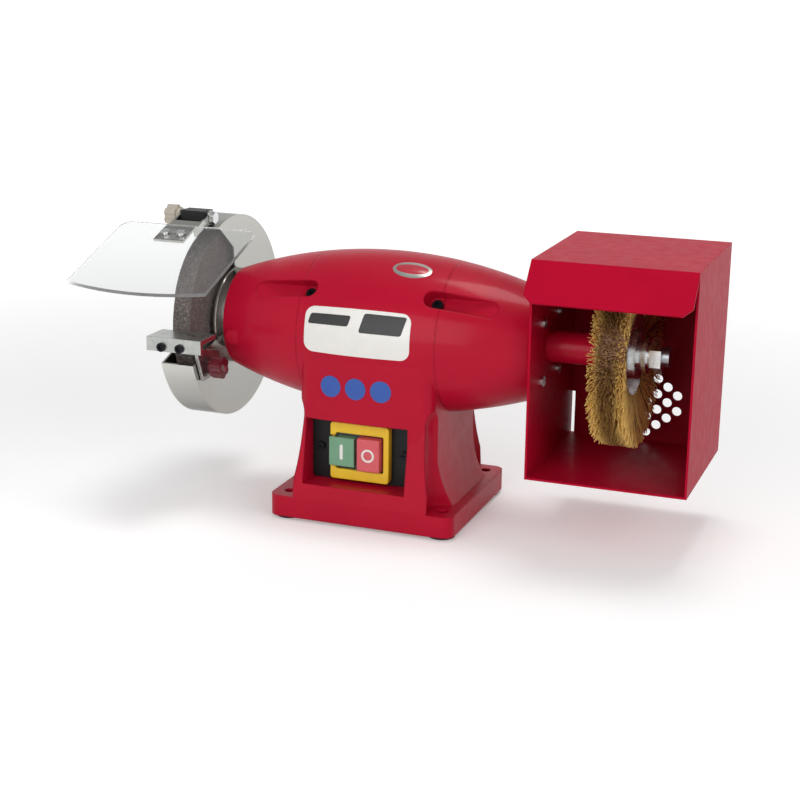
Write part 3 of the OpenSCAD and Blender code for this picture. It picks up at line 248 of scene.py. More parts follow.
def stoved_enamel(name, tint, edge_mm, gloss, lacquer):
    """Stoved enamel: a deep gloss, drawn round the edges, with faint orange peel and slow waves."""
    material, tree = blank(name)
    at = object_place(tree)
    cloud = noise(tree, at, size_mm=45, detail=2)
    skin = noise(tree, at, size_mm=9, detail=2)
    peel = noise(tree, at, size_mm=1.8, detail=1)
    edge = add(tree, "ShaderNodeBevel", {"Radius": edge_mm * MM}, samples=6).outputs[0]
    waves = relief(tree, skin, strength=0.06, depth_mm=0.2, Normal=edge)
    return principled(material, {
        "Base Color": shades(tree, cloud, tint, 0.88, 1.1),
        "Roughness": between(tree, skin, 0.42, 0.5),
        "Normal": relief(tree, peel, strength=0.05, depth_mm=0.05, Normal=waves),
        "Specular IOR Level": gloss,
        "Specular Tint": rgba(linear("#FF9A96")),
        "Coat Weight": lacquer,
        "Coat Roughness": 0.14,
    })


def turned_metal(name, tint, ring_mm, rough_low, rough_high, rim=1.0):
    """Metal finished on a lathe or with a buff round the shaft: fine rings stretch the highlights.

    A rim below 1 dulls what the metal mirrors at a slant, as a skin of oxide does.
    """
    material, tree = blank(name)
    at = object_place(tree)
    from_shaft = vector_calc(tree, "SUBTRACT", at, (0, 0, SHAFT_HEIGHT))
    radius = vector_calc(tree, "LENGTH", vector_calc(tree, "MULTIPLY", from_shaft, (0, 1, 1)))
    rings = add(tree, "ShaderNodeTexNoise", {"W": radius, "Scale": per_mm(ring_mm), "Detail": 3.0},
                noise_dimensions="1D").outputs["Fac"]
    smudge = noise(tree, at, size_mm=22, detail=3)
    return principled(material, {
        "Base Color": shades(tree, rings, tint, 0.88, 1.06),
        "Roughness": between(tree, smudge, rough_low, rough_high),
        "Normal": relief(tree, rings, strength=0.1, depth_mm=0.05),
        "Metallic": 1,
        "Specular Tint": (rim, rim, rim, 1),
    })


def plated_steel(name, tint, rough_low, rough_high):
    """Zinc-plated or rolled steel: a bright skin with soft spangle and rubbed patches."""
    material, tree = blank(name)
    at = object_place(tree)
    spangle = add(tree, "ShaderNodeTexVoronoi", {"Vector": at, "Scale": per_mm(5)})
    rub = noise(tree, at, size_mm=12, detail=4)
    return principled(material, {
        "Base Color": shades(tree, spangle.outputs["Distance"], tint, 1.05, 0.86),
        "Roughness": between(tree, rub, rough_low, rough_high),
        "Normal": relief(tree, rub, strength=0.06, depth_mm=0.1),
        "Metallic": 1,
    })


def moulded_plastic(name, tint, rough, gloss=0.5):
    """Moulded plastic: a fine spark-eroded grain, drawn a little coarser than it is to show."""
    material, tree = blank(name)
    at = object_place(tree)
    grain = noise(tree, at, size_mm=0.9, detail=2)
    flow = noise(tree, at, size_mm=14, detail=1)
    return principled(material, {
        "Base Color": shades(tree, flow, tint, 0.9, 1.08),
        "Roughness": between(tree, grain, rough - 0.05, rough + 0.08),
        "Normal": relief(tree, grain, strength=0.12, depth_mm=0.05),
        "Specular IOR Level": gloss,
    })


def bonded_abrasive(name, tint):
    """Vitrified aluminium oxide: open grey-brown grain with paler crystals, about 1 mm across."""
    material, tree = blank(name)
    grain = add(tree, "ShaderNodeTexVoronoi", {"Vector": object_place(tree), "Scale": per_mm(1.1)})
    sort = add(tree, "ShaderNodeSeparateColor", {0: grain.outputs["Color"]})
    ramp = add(tree, "ShaderNodeValToRGB", {0: sort.outputs[0]})
    ramp.color_ramp.elements[0].color = rgba(tint, 0.55)
    ramp.color_ramp.elements[1].color = rgba(tint, 1.9)
    ramp.color_ramp.elements.new(0.8).color = rgba(tint, 1.05)
    return principled(material, {
        "Base Color": ramp.outputs[0],
        "Normal": relief(tree, grain.outputs["Distance"], strength=0.7, depth_mm=0.5),
        "Roughness": 0.85,
    })


def fibrous_sheet(name, tint, fibre_mm, rough):
    """Pressed paper, rubber or varnished windings: a matt body with short darker fibres."""
    material, tree = blank(name)
    stretch = add(tree, "ShaderNodeMapping", {"Vector": object_place(tree), "Scale": (1, 1, 0.25)})
    fibre = noise(tree, stretch.outputs[0], fibre_mm, detail=4)
    return principled(material, {
        "Base Color": shades(tree, fibre, tint, 0.7, 1.2),
        "Normal": relief(tree, fibre, strength=0.3, depth_mm=0.1),
        "Roughness": rough,
    })


def crimped_brass(name, edge, middle):
    """Brass-coated wire: golden at the brush's edges, with painted shade darkening its middle to
    brown, and a stored random tone.
    """
    material, tree = blank(name)
    at = object_place(tree)
    x = add(tree, "ShaderNodeSeparateXYZ", {0: at}).outputs[0]
    # Painted shade: the colour runs from the shaded brown in the brush's middle to golden brass at
    # its lit edges
    off = calc(tree, "ABSOLUTE", calc(tree, "SUBTRACT", x, BRUSH_MIDDLE))
    reach = between(tree, off, 0.0, 1.0, start=4 * MM, end=10.5 * MM)
    own = add(tree, "ShaderNodeAttribute", attribute_name="wire_tone").outputs["Fac"]
    lit_edge_and_tone = calc(tree, "MULTIPLY_ADD", reach, 0.8, own)
    stain = noise(tree, at, size_mm=6, detail=3)
    return principled(material, {
        "Base Color": blend(tree, lit_edge_and_tone, rgba(middle), rgba(edge), clamp_factor=True),
        "Roughness": between(tree, stain, 0.35, 0.6),
        "Metallic": 0.1,
    })


def clear_polycarbonate(name, sheet_normal):
    """Extruded polycarbonate: clear, with a faint haze of wiping marks and pale sawn edges."""
    material, tree = blank(name)
    where = add(tree, "ShaderNodeTexCoord").outputs
    wipe = noise(tree, where["Object"], size_mm=30, detail=5)
    haze = between(tree, wipe, 0.02, 0.05, start=0.35, end=0.75)
    facing = calc(tree, "ABSOLUTE", vector_calc(tree, "DOT_PRODUCT", where["Normal"], sheet_normal))
    sawn = calc(tree, "LESS_THAN", facing, 0.5)
    return principled(material, {
        "Base Color": blend(tree, sawn, (0.97, 0.98, 0.98, 1), (1, 1, 1, 1)),
        "Roughness": add(tree, "ShaderNodeMix", {0: sawn, 2: haze, 3: 0.65}).outputs[0],
        "IOR": 1.58,
        "Transmission Weight": 1,
    })


def printed_film(name, tint, rough=0.35):
    """Printed vinyl film: smooth ink under a clear lacquer, rippled by the casting below."""
    material, tree = blank(name)
    ripple = noise(tree, object_place(tree), size_mm=11, detail=2)
    return principled(material, {
        "Base Color": shades(tree, ripple, tint, 0.92, 1.04),
        "Normal": relief(tree, ripple, strength=0.1, depth_mm=0.2),
        "Roughness": rough,
        "Coat Weight": 0.1,
    })


def finish_nodes(material, *names):
    """Gives CAD nodes one finish."""
    for name in names:
        NODES[name].data.materials.clear()
        NODES[name].data.materials.append(material)


def place_piece(name, mesh, body, material, stands_for=()):
    """Links a mesh as a piece that rides on a body."""
    piece = bpy.data.objects.new(name, mesh)
    bpy.context.scene.collection.objects.link(piece)
    if material:
        mesh.materials.clear()
        mesh.materials.append(material)
    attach(piece, body)
    if stands_for:
        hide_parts(*stands_for)
    return piece


def thicken(piece, label, thickness):
    """Gives a film its thickness, inwards from its face."""
    wall = piece.modifiers.new(label, "SOLIDIFY")
    wall.thickness = thickness
    wall.offset = -1


def eased_copy(node, body, material, width):
    """A copy of a CAD node with eased edges, as grinding and moulds leave them, in its place."""
    mesh = NODES[node].data.copy()
    mesh.name = node + "_eased"
    shape = bmesh.new()
    shape.from_mesh(mesh)
    bmesh.ops.remove_doubles(shape, verts=shape.verts, dist=SMALL_STEP)
    bmesh.ops.dissolve_limit(shape, angle_limit=FLAT_ANGLE, verts=shape.verts, edges=shape.edges)
    for part in (*shape.faces, *shape.edges):
        part.smooth = True
    shape.to_mesh(mesh)
    shape.free()
    if "custom_normal" in mesh.attributes:
        mesh.attributes.remove(mesh.attributes["custom_normal"])
    piece = place_piece(node + "_eased", mesh, body, material, (node,))
    bevel = piece.modifiers.new("Eased edges", "BEVEL")
    bevel.width = width
    bevel.segments = 2
    bevel.limit_method = "ANGLE"
    bevel.angle_limit = SHARP_ANGLE
    bevel.use_clamp_overlap = False
    bevel.harden_normals = True
    bevel.miter_outer = "MITER_ARC"


class GRINDER_OT_enamel(Operator):
    """Paint the castings and the hood"""

    bl_idname = "grinder.enamel"
    bl_label = "Enamel"

    def execute(self, context):
        finishes = context.scene.grinder_finishes
        casting = stoved_enamel("Stoved enamel on cast iron", finishes.enamel,
                                edge_mm=2.4, gloss=0.22, lacquer=0.15)
        sheet = stoved_enamel("Stoved enamel on sheet steel", finishes.enamel,
                              edge_mm=0.8, gloss=0.07, lacquer=0.04)
        # The back panel's darker red is painted shade for the inside of the hood
        inside = stoved_enamel("Stoved enamel in painted shade", finishes.enamel_shaded_inside,
                               edge_mm=0.4, gloss=0.12, lacquer=0.05)
        finish_nodes(casting, "motor_housing", "left_end_bell", "right_end_bell")
        finish_nodes(sheet, "brush_hood")
        finish_nodes(inside, "hood_back_panel")
        return {"FINISHED"}


class GRINDER_OT_bright_metal(Operator):
    """Finish the guard, the tool rest and the fasteners"""

    bl_idname = "grinder.bright_metal"
    bl_label = "Bright metal"

    def execute(self, context):
        finishes = context.scene.grinder_finishes
        sheet = turned_metal("Polished aluminium", finishes.aluminium,
                             ring_mm=1.2, rough_low=0.12, rough_high=0.22, rim=0.5)
        zinc = plated_steel("Bright zinc plate", finishes.zinc, rough_low=0.18, rough_high=0.32)
        steel = turned_metal("Turned steel", finishes.steel,
                             ring_mm=0.8, rough_low=0.28, rough_high=0.42)
        oxide = plated_steel("Black oxide steel", linear("#26262A"), rough_low=0.35, rough_high=0.5)
        ground = plated_steel("Ground steel plate", linear("#AEB0AC"),
                              rough_low=0.24, rough_high=0.38)
        finish_nodes(sheet, "guard_body", "guard_cover", "guard_spacer", "shield_arm")
        finish_nodes(zinc, "brush_hub", "brush_washer", "brush_nut", "brush_outer_flange",
                     "hood_screws", "shield_bolt", "shield_screws", "guard_cover_screws",
                     "rest_stud")
        eased_copy("tool_rest", "rest", ground, width=0.6 * MM)
        finish_nodes(steel, "shaft", "wheel_inner_flange", "wheel_outer_flange", "wheel_nut",
                     "brush_inner_flange", "guard_screws", "shield_block_screw", "bottom_cover",
                     "bottom_cover_screws")
        finish_nodes(oxide, "rest_screws", "bell_screws", "switch_screws")
        return {"FINISHED"}


class GRINDER_OT_motor(Operator):
    """Finish the motor's inner pieces"""

    bl_idname = "grinder.motor"
    bl_label = "Motor"

    def execute(self, context):
        iron = turned_metal("Stacked core iron", linear("#6D7177"),
                            ring_mm=0.5, rough_low=0.4, rough_high=0.55)
        race = turned_metal("Ground bearing steel", linear("#B7BABD"),
                            ring_mm=0.4, rough_low=0.12, rough_high=0.2)
        die_cast = plated_steel("Die-cast aluminium", linear("#B9BCBF"),
                                rough_low=0.35, rough_high=0.5)
        copper = fibrous_sheet("Varnished copper winding", linear("#9A4F24"),
                               fibre_mm=1.0, rough=0.4)
        can = plated_steel("Drawn aluminium can", linear("#CFD0CE"), rough_low=0.3, rough_high=0.45)
        finish_nodes(iron, "stator_core", "rotor_core")
        finish_nodes(race, "left_bearing_outer", "left_bearing_inner", "left_bearing_balls",
                     "right_bearing_outer", "right_bearing_inner", "right_bearing_balls",
                     "wave_washer")
        finish_nodes(die_cast, "rotor_end_rings", "capacitor_clip")
        finish_nodes(copper, "stator_windings")
        finish_nodes(can, "capacitor")
        return {"FINISHED"}


class GRINDER_OT_wheel(Operator):
    """Finish the grinding wheel and its paper blotters"""

    bl_idname = "grinder.wheel"
    bl_label = "Wheel"

    def execute(self, context):
        grain = bonded_abrasive("Vitrified abrasive", context.scene.grinder_finishes.abrasive)
        paper = fibrous_sheet("Blotter paper", linear("#C9605A"), fibre_mm=1.5, rough=0.9)
        finish_nodes(grain, "grinding_wheel")
        finish_nodes(paper, "wheel_blotters")
        return {"FINISHED"}


class GRINDER_OT_plastics(Operator):
    """Finish the switch, the knobs, the pivot block, the gland and the feet"""

    bl_idname = "grinder.plastics"
    bl_label = "Plastics"

    def execute(self, context):
        finishes = context.scene.grinder_finishes
        black = moulded_plastic("Black ABS", linear("#101012"), rough=0.45, gloss=0.25)
        grey = moulded_plastic("Grey ABS", linear("#44484B"), rough=0.45)
        stone = moulded_plastic("Stone-grey phenolic", linear("#B8B0A2"), rough=0.35)
        # Partly painted reflection: the knob is a dark red part, coloured to copy the red bell
        # mirrored in shade on the guard plate
        dark_red_reflection = moulded_plastic("Dark red phenolic in painted reflection", linear("#5E0C1C"), rough=0.3)
        yellow = moulded_plastic("Yellow ABS", finishes.bezel, rough=0.35)
        green = moulded_plastic("Green ABS", finishes.start, rough=0.3)
        red = moulded_plastic("Red ABS", finishes.stop, rough=0.3)
        rubber = fibrous_sheet("Moulded rubber", linear("#1E1E20"), fibre_mm=2.0, rough=0.85)
        finish_nodes(black, "switch_plate", "cable_gland", "gland_nut")
        finish_nodes(grey, "switch_body")
        finish_nodes(stone, "shield_knob")
        # The knob's dark red stands in for the shaded red reflection in the guard plate behind it
        finish_nodes(dark_red_reflection, "rest_knob")
        finish_nodes(rubber, "rubber_feet")
        eased_copy("shield_block", "frame", black, width=0.8 * MM)
        eased_copy("switch_bezel", "frame", yellow, width=0.9 * MM)
        eased_copy("start_button", "start", green, width=0.9 * MM)
        eased_copy("stop_button", "stop", red, width=0.9 * MM)
        return {"FINISHED"}


def face_front(shape):
    """Turns an open sheet's faces the same way, towards the front of the machine."""
    bmesh.ops.recalc_face_normals(shape, faces=shape.faces)
    if sum(face.normal.y for face in shape.faces) > 0:
        bmesh.ops.reverse_faces(shape, faces=shape.faces)


def raised_mark(name, node, outer, inner, lift):
    """A mark on a button: the strip between outlines of one point count, or all of the outer."""
    low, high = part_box(node)
    middle = (low + high) / 2
    mesh = bpy.data.meshes.new(name)
    shape = bmesh.new()

    def corners(outline):
        return [shape.verts.new((middle.x + x, low.y - lift, middle.z + z)) for x, z in outline]

    edge = corners(outer)
    if inner:
        hole = corners(inner)
        for i in range(len(edge)):
            j = (i + 1) % len(edge)
            shape.faces.new((edge[i], edge[j], hole[j], hole[i]))
    else:
        shape.faces.new(edge)
    face_front(shape)
    shape.to_mesh(mesh)
    shape.free()
    return mesh


def round_outline(half_width, half_height, radius, steps=10):
    """A rectangle with round corners, or a circle where the radius is all of its half width."""
    points = []
    for corner, (sx, sz) in enumerate(((1, 1), (-1, 1), (-1, -1), (1, -1))):
        for i in range(steps + 1):
            a = math.pi / 2 * (corner + i / steps)
            points.append((sx * (half_width - radius) + radius * math.cos(a),
                           sz * (half_height - radius) + radius * math.sin(a)))
    return [p for i, p in enumerate(points) if math.dist(p, points[i - 1]) > SAME_POINT]


class GRINDER_OT_marks(Operator):
    """Raise the bar and the ring on the start and stop buttons"""

    bl_idname = "grinder.marks"
    bl_label = "Switch marks"

    def execute(self, context):
        ink = printed_film("White pad print", linear("#E4E2DC"), rough=0.45)
        bar = round_outline(half_width=1.4 * MM, half_height=6.5 * MM, radius=1.2 * MM)
        ring, hole = (round_outline(r * MM, r * MM, r * MM) for r in (5.6, 3.9))
        for name, body, slot, outer, inner in (("start_bar", "start", "green_plastic", bar, None),
                                               ("stop_ring", "stop", "red_plastic", ring, hole)):
            mesh = raised_mark(name, body + "_button", outer, inner, lift=0.25 * MM)
            thicken(place_piece(name, mesh, body, ink), "Mark thickness", 0.35 * MM)
        return {"FINISHED"}


class GRINDER_OT_shield(Operator):
    """Finish the clear eye shield"""

    bl_idname = "grinder.shield"
    bl_label = "Eye shield"

    def execute(self, context):
        widest = max(NODES["eye_shield"].data.polygons, key=lambda face: face.area)
        finish_nodes(clear_polycarbonate("Clear polycarbonate", widest.normal), "eye_shield")
        # The clear sheet lets the lamps through: it lays no shadow on the floor
        NODES["eye_shield"].visible_shadow = False
        return {"FINISHED"}


def wire_tree():
    """Geometry Nodes that set crimped wires round a hub, splayed towards the rim."""
    tree = bpy.data.node_groups.new("Brush wires", "GeometryNodeTree")
    for kind, names in (("Int", ("Wires", "Seed")), ("Material", ("Material",)),
                        ("Float", ("Wire width", "Root radius", "Tip radius", "Root width",
                                   "Rim width"))):
        for name in names:
            tree.interface.new_socket(name, in_out="INPUT", socket_type="NodeSocket" + kind)
    tree.interface.new_socket("Geometry", in_out="OUTPUT", socket_type="NodeSocketGeometry")
    given = add(tree, "NodeGroupInput").outputs

    def chance(low, high, seed):
        return add(tree, "FunctionNodeRandomValue", {2: low, 3: high, "Seed": seed}).outputs[1]

    seeds = [calc(tree, "ADD", given["Seed"], float(i)) for i in range(5)]
    place = chance(0.0, math.tau, seeds[0])
    side = chance(-0.5, 0.5, seeds[1])
    reach = chance(0.965, 1.0, seeds[2])
    lean = chance(-0.05, 0.05, seeds[3])
    spin = chance(0.0, math.tau, seeds[4])
    # The tone shares its seed with the place, so it runs once round the brush
    tone = chance(0.0, 0.35, given["Seed"])
    tip_place = calc(tree, "ADD", place, lean)
    tip_radius = calc(tree, "MULTIPLY", given["Tip radius"], reach)
    ends = []
    for angle, radius, width in ((place, given["Root radius"], given["Root width"]),
                                 (tip_place, tip_radius, given["Rim width"])):
        x = calc(tree, "MULTIPLY", side, width)
        y = calc(tree, "MULTIPLY", calc(tree, "COSINE", angle), radius)
        z = calc(tree, "MULTIPLY", calc(tree, "SINE", angle), radius)
        local = add(tree, "ShaderNodeCombineXYZ", {0: x, 1: y, 2: z}).outputs[0]
        ends.append(vector_calc(tree, "ADD", local, (BRUSH_MIDDLE, 0, SHAFT_HEIGHT)))
    along = vector_calc(tree, "SUBTRACT", ends[1], ends[0])
    points = add(tree, "GeometryNodePoints", {"Count": given["Wires"]})
    rooted = add(tree, "GeometryNodeSetPosition", {"Geometry": points.outputs[0],
                                                   "Position": ends[0]})
    toned = add(tree, "GeometryNodeStoreNamedAttribute",
                {"Geometry": rooted.outputs[0], "Name": "wire_tone", "Value": tone},
                data_type="FLOAT", domain="POINT")
    # One wire a metre long, with its crimp, scaled to each wire's length
    crimps, crimp_depth = 4.5 * math.pi, 0.7 * MM
    line = add(tree, "GeometryNodeCurvePrimitiveLine", {"Start": (0, 0, 0), "End": (0, 0, 1)})
    steps = add(tree, "GeometryNodeResampleCurve", {"Curve": line.outputs[0], "Count": 7})
    where = add(tree, "GeometryNodeInputPosition").outputs[0]
    up = add(tree, "ShaderNodeSeparateXYZ", {0: where}).outputs[2]
    swing = calc(tree, "SINE", calc(tree, "MULTIPLY", up, crimps))
    offset = add(tree, "ShaderNodeCombineXYZ", {0: calc(tree, "MULTIPLY", swing, crimp_depth)})
    waved = add(tree, "GeometryNodeSetPosition", {"Geometry": steps.outputs[0],
                                                  "Offset": offset.outputs[0]})
    half = calc(tree, "MULTIPLY", given["Wire width"], 0.5)
    section = add(tree, "GeometryNodeCurvePrimitiveCircle", {"Resolution": 3, "Radius": half})
    wire = add(tree, "GeometryNodeCurveToMesh", {
        "Curve": waved.outputs[0], "Profile Curve": section.outputs[0], "Fill Caps": True})
    aim = add(tree, "FunctionNodeAlignRotationToVector", {"Vector": along}, axis="Z").outputs[0]
    roll = add(tree, "FunctionNodeAxisAngleToRotation", {"Axis": (0, 0, 1), "Angle": spin})
    facing = add(tree, "FunctionNodeRotateRotation", {0: aim, 1: roll.outputs[0]},
                 rotation_space="LOCAL").outputs[0]
    stretch = add(tree, "ShaderNodeCombineXYZ",
                  {0: 1.0, 1: 1.0, 2: vector_calc(tree, "LENGTH", along)}).outputs[0]
    set_on = add(tree, "GeometryNodeInstanceOnPoints", {
        "Points": toned.outputs[0], "Instance": wire.outputs[0], "Rotation": facing,
        "Scale": stretch})
    real = add(tree, "GeometryNodeRealizeInstances", {"Geometry": set_on.outputs[0]})
    dressed = add(tree, "GeometryNodeSetMaterial", {"Geometry": real.outputs[0],
                                                    "Material": given["Material"]})
    add(tree, "NodeGroupOutput", {"Geometry": dressed.outputs[0]})
    return tree


def revolved(name, profile, steps=96):
    """A closed ring about the shaft from an outline of (x, radius) points."""
    mesh = bpy.data.meshes.new(name)
    shape = bmesh.new()
    rings = []
    for i in range(steps):
        a = math.tau * i / steps
        rings.append([shape.verts.new((x, r * math.cos(a), SHAFT_HEIGHT + r * math.sin(a)))
                      for x, r in profile])
    for i, ring in enumerate(rings):
        after = rings[(i + 1) % steps]
        for k in range(len(profile)):
            n = (k + 1) % len(profile)
            shape.faces.new((ring[k], ring[n], after[n], after[k]))
    bmesh.ops.recalc_face_normals(shape, faces=shape.faces)
    shape.to_mesh(mesh)
    shape.free()
    return mesh


class GRINDER_OT_brush(Operator):
    """Set the crimped wires of the brush round its hub"""

    bl_idname = "grinder.brush"
    bl_label = "Brush"

    def execute(self, context):
        brush = context.scene.grinder_brush
        finishes = context.scene.grinder_finishes
        brass = crimped_brass("Crimped brass wire", finishes.brass, finishes.brass_painted_shade)
        tree = wire_tree()
        maker = bpy.data.objects.new("wire_maker", bpy.data.meshes.new("wire_maker"))
        modifier = maker.modifiers.new("Brush wires", "NODES")
        modifier.node_group = tree
        values = {"Wires": brush.wires, "Wire width": brush.wire_width,
                  "Root radius": brush.root_radius, "Tip radius": brush.tip_radius,
                  "Root width": brush.root_width, "Rim width": brush.rim_width,
                  "Seed": 7, "Material": brass}
        for item in tree.interface.items_tree:
            if item.in_out == "INPUT":
                modifier[item.identifier] = values[item.name]
        context.scene.collection.objects.link(maker)
        made = maker.evaluated_get(context.evaluated_depsgraph_get())
        wires = bpy.data.meshes.new_from_object(made)
        wires.name = "wire_mass"
        maker.modifiers.remove(modifier)
        bpy.data.objects.remove(maker)
        if not wires.polygons:
            raise RuntimeError("the brush has no wires")
        place_piece("brush_bristles", wires, "spindle", None, ("brush_wires",))
        # Behind the outer wires lies a packed mass that no light passes: (half width, radius)
        packed = ((4.9, 27.5), (5.2, 32), (11.5, 64))
        core = [(BRUSH_MIDDLE - w * MM, r * MM) for w, r in packed]
        core += [(BRUSH_MIDDLE + w * MM, r * MM) for w, r in reversed(packed)]
        # The packed mass takes the painted shade brown all over
        dark = crimped_brass("Packed brass wire in painted shade", finishes.brass_painted_shade, finishes.brass_painted_shade)
        place_piece("brush_packed_wire", revolved("packed_wire", core), "spindle", dark)
        return {"FINISHED"}


def crowned(reach, x):
    """How far a surface that is crowned along the machine stands out at x."""
    return reach - CROWN_R + math.sqrt(CROWN_R ** 2 - x ** 2)


def on_barrel(angle):
    """A place on the barrel at an angle above the front: (x, along the girth, lift) to a point."""
    def place(x, girth, lift):
        radius = crowned(BARREL_R, x) + lift
        a = angle + girth / BARREL_R
        return Vector((x, -radius * math.cos(a), SHAFT_HEIGHT + radius * math.sin(a)))
    return place


def on_column(height):
    """A place on the column's crowned front face: (x, up, lift) to a point."""
    def place(x, up, lift):
        return Vector((x, -(crowned(COLUMN_FACE, x) + lift), height + up))
    return place


def film_mesh(name, place, middle, half_height, half_width, crown=0.0, lift=0.25 * MM, lean=0.0,
              rows=28, columns=36):
    """A thin film that follows a surface.

    half_width(v) gives its outline, crown lifts its middle and lean slants it.
    """
    least = 0.05 * MM
    mesh = bpy.data.meshes.new(name)
    shape = bmesh.new()
    grid = []
    for j in range(rows + 1):
        v = -half_height * math.cos(math.pi * j / rows)
        reach = max(half_width(v), least)
        line = []
        for i in range(columns + 1):
            u = -reach * math.cos(math.pi * i / columns)
            swell = max(0.0, 1 - (u / half_width(0)) ** 2 - (v / half_height) ** 2)
            line.append(shape.verts.new(place(middle + u + lean * v, v, lift + crown * swell)))
        grid.append(line)
    for low, high in zip(grid, grid[1:]):
        for i in range(columns):
            shape.faces.new((low[i], low[i + 1], high[i + 1], high[i]))
    bmesh.ops.remove_doubles(shape, verts=shape.verts, dist=SAME_POINT)
    face_front(shape)
    for face in shape.faces:
        face.smooth = True
    shape.to_mesh(mesh)
    shape.free()
    return mesh


def rounded(width, height, corner):
    """The half width of a rounded rectangle at each height."""
    def half_width(v):
        into = max(0.0, abs(v) - (height / 2 - corner))
        return width / 2 - corner + math.sqrt(max(0.0, corner ** 2 - into ** 2))
    return half_width


def oval(width, height):
    """The half width of an ellipse at each height."""
    return lambda v: width / 2 * math.sqrt(max(0.0, 1 - (2 * v / height) ** 2))


def stick(name, mesh, material, thickness=0.3 * MM):
    """A film that rides on the frame, with its thickness towards the casting."""
    thicken(place_piece(name, mesh, "frame", material), "Film thickness", thickness)


class GRINDER_OT_films(Operator):
    """Lay the bare label, the oval badge and the plain blue discs on the casting"""

    bl_idname = "grinder.films"
    bl_label = "Films"

    def execute(self, context):
        films = context.scene.grinder_films
        white = printed_film("White vinyl film", linear("#E9E7E2"))
        black = printed_film("Black ink", linear("#121214"), rough=0.5)
        blue = printed_film("Blue vinyl film", linear("#1F4FA3"))
        rim = turned_metal("Stamped aluminium badge", linear("#B9BBB4"),
                           ring_mm=3.0, rough_low=0.25, rough_high=0.4)
        field = printed_film("Red badge lacquer", linear("#B8283A"), rough=0.25)

        width, height = films.label_width, films.label_height
        label_middle, label_angle = -6 * MM, math.radians(9.5)
        label = film_mesh("label_film", on_barrel(label_angle), label_middle, height / 2,
                          rounded(width, height, corner=8 * MM))
        stick("label_film", label, white)
        # Bare colour fields in the label's upper half
        for name, x, up, wide, high in (("bar", -30, 9, 36, 9), ("block", 16.5, 8.5, 36, 16)):
            place = on_barrel(label_angle + up * MM / BARREL_R)
            ink = film_mesh("label_" + name, place, x * MM, high * MM / 2,
                            rounded(wide * MM, high * MM, corner=2 * MM), lift=0.4 * MM, lean=0.25)
            stick("label_ink_" + name, ink, black, 0.2 * MM)

        badge_middle, badge_angle = 29 * MM, math.radians(63.5)
        for name, border, lift, material in (("rim", 0, 0.25, rim), ("field", 5.5, 0.55, field)):
            wide, high = films.badge_width - border * MM, films.badge_height - border * MM
            plate = film_mesh("badge_" + name, on_barrel(badge_angle), badge_middle, high / 2,
                              oval(wide, high), crown=0.9 * MM, lift=lift * MM)
            stick("badge_" + name, plate, material, 0.4 * MM)

        disc_height, disc = 118 * MM, films.disc_width
        for name, x in (("left", -28), ("middle", -6), ("right", 16)):
            sheet = film_mesh("disc_" + name, on_column(disc_height), x * MM, disc / 2,
                              oval(disc, disc), rows=20, columns=20)
            stick("disc_film_" + name, sheet, blue)
        return {"FINISHED"}


def sight_rays(tree):
    """One for the rays that show the background: seen, mirrored or through glass."""
    rays = add(tree, "ShaderNodeLightPath").outputs
    direct = calc(tree, "MAXIMUM", rays["Is Camera Ray"], rays["Is Transmission Ray"])
    return calc(tree, "MAXIMUM", direct, rays["Is Glossy Ray"])


def studio_floor(tint):
    """A matt floor that the lamps light near the object.

    Further off, a glow that only sight lines meet keeps it white.
    """
    material, tree = blank("Pale studio floor")
    away = vector_calc(tree, "LENGTH", object_place(tree))
    level = between(tree, away, 0.25, 0.75, start=0.35, end=1.6, interpolation_type="SMOOTHSTEP")
    matt = add(tree, "ShaderNodeBsdfDiffuse", {"Color": rgba(tint)})
    glow = add(tree, "ShaderNodeEmission",
               {"Strength": calc(tree, "MULTIPLY", sight_rays(tree), level)})
    both = add(tree, "ShaderNodeAddShader", {0: matt.outputs[0], 1: glow.outputs[0]})
    add(tree, "ShaderNodeOutputMaterial", {"Surface": both.outputs[0]})
    return material


def studio_world():
    """Even light, with a white backdrop round the horizon under a dimmer ceiling for sight lines."""
    world = bpy.data.worlds.new("Studio")
    world.use_nodes = True
    tree = world.node_tree
    tree.nodes.clear()
    way = add(tree, "ShaderNodeTexCoord").outputs["Generated"]
    up = add(tree, "ShaderNodeSeparateXYZ", {0: way}).outputs[2]
    backdrop = between(tree, up, 1.0, 0.4, start=0.3, end=0.75, interpolation_type="SMOOTHSTEP")
    level = add(tree, "ShaderNodeMix", {0: sight_rays(tree), 2: 0.33, 3: backdrop}).outputs[0]
    dome = add(tree, "ShaderNodeBackground", {"Color": (1, 1, 1, 1), "Strength": level})
    add(tree, "ShaderNodeOutputWorld", {"Surface": dome.outputs[0]})
    return world


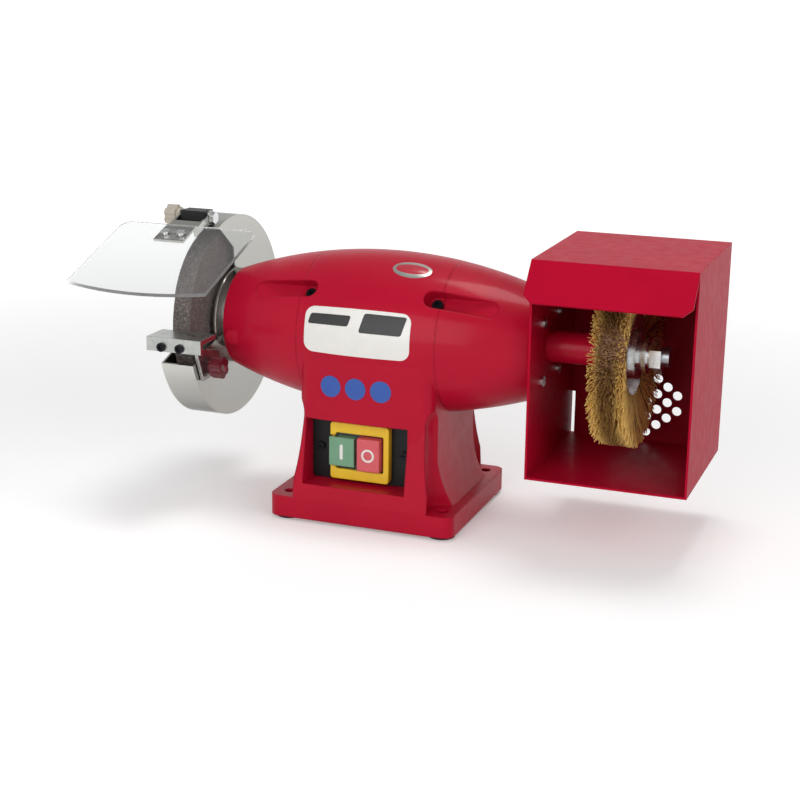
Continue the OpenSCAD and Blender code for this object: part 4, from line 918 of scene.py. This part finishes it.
class GRINDER_OT_stage(Operator):
    """Set the floor, the lamps and the camera"""

    bl_idname = "grinder.stage"
    bl_label = "Stage"

    def execute(self, context):
        scene = context.scene
        stage = scene.grinder_stage
        scene.view_settings.view_transform = "Standard"
        scene.world = studio_world()

        half, level = 20, -0.2 * MM
        corners = [(x * half, y * half, level) for x, y in ((-1, -1), (1, -1), (1, 1), (-1, 1))]
        mesh = bpy.data.meshes.new("studio_floor")
        mesh.from_pydata(corners, [], [(0, 1, 2, 3)])
        mesh.materials.append(studio_floor(stage.floor))
        floor = bpy.data.objects.new("studio_floor", mesh)
        scene.collection.objects.link(floor)

        body_middle = (0.05, 0, 0.12)
        for name, place, aim, width, watts in (
                ("Overhead softbox", (0.2, 0.22, 1.55), (0, 0, 0.1), 0.5, stage.overhead),
                ("Front softbox", (-0.2, -1.6, 0.7), body_middle, 1.1, stage.front),
                ("Side softbox", (1.5, -1.0, 0.9), body_middle, 1.0, stage.side)):
            light = bpy.data.lights.new(name, "AREA")
            light.size = width
            light.energy = watts
            lamp = bpy.data.objects.new(name, light)
            lamp.location = place
            lamp.rotation_euler = (Vector(aim) - Vector(place)).to_track_quat("-Z", "Y").to_euler()
            scene.collection.objects.link(lamp)

        lens = bpy.data.cameras.new("Photo camera")
        lens.lens = stage.lens
        camera = bpy.data.objects.new("Photo camera", lens)
        camera.location = stage.camera_place
        look = Euler((math.pi / 2 - stage.camera_drop, 0, stage.camera_turn)).to_quaternion()
        camera.rotation_euler = (look @ Quaternion((0, 0, 1), stage.camera_roll)).to_euler()
        scene.collection.objects.link(camera)
        scene.camera = camera
        return {"FINISHED"}


class GRINDER_PT_panel(Panel):
    """Lists the pieces and their sizes"""

    bl_label = "Grinder"
    bl_idname = "GRINDER_PT_panel"
    bl_space_type = "VIEW_3D"
    bl_region_type = "UI"
    bl_category = "Grinder"

    def draw(self, context):
        for operator in OPERATORS:
            self.layout.operator(operator.bl_idname)
        for name, group in GROUPS:
            for key in group.__annotations__:
                self.layout.prop(getattr(context.scene, name), key)


OPERATORS = (GRINDER_OT_enamel, GRINDER_OT_bright_metal, GRINDER_OT_motor, GRINDER_OT_wheel,
             GRINDER_OT_plastics, GRINDER_OT_marks, GRINDER_OT_shield, GRINDER_OT_brush,
             GRINDER_OT_films, GRINDER_OT_stage)
GROUPS = (("grinder_finishes", GrinderFinishes), ("grinder_brush", GrinderBrush),
          ("grinder_films", GrinderFilms), ("grinder_stage", GrinderStage))


def register():
    for name, group in GROUPS:
        bpy.utils.register_class(group)
        setattr(bpy.types.Scene, name, PointerProperty(type=group))
    for cls in (*OPERATORS, GRINDER_PT_panel):
        bpy.utils.register_class(cls)


def unregister():
    for cls in (GRINDER_PT_panel, *reversed(OPERATORS)):
        bpy.utils.unregister_class(cls)
    for name, group in reversed(GROUPS):
        delattr(bpy.types.Scene, name)
        bpy.utils.unregister_class(group)


def main():
    register()
    for operator in OPERATORS:
        group, name = operator.bl_idname.split(".")
        getattr(getattr(bpy.ops, group), name)()


if __name__ == "__main__":
    main()
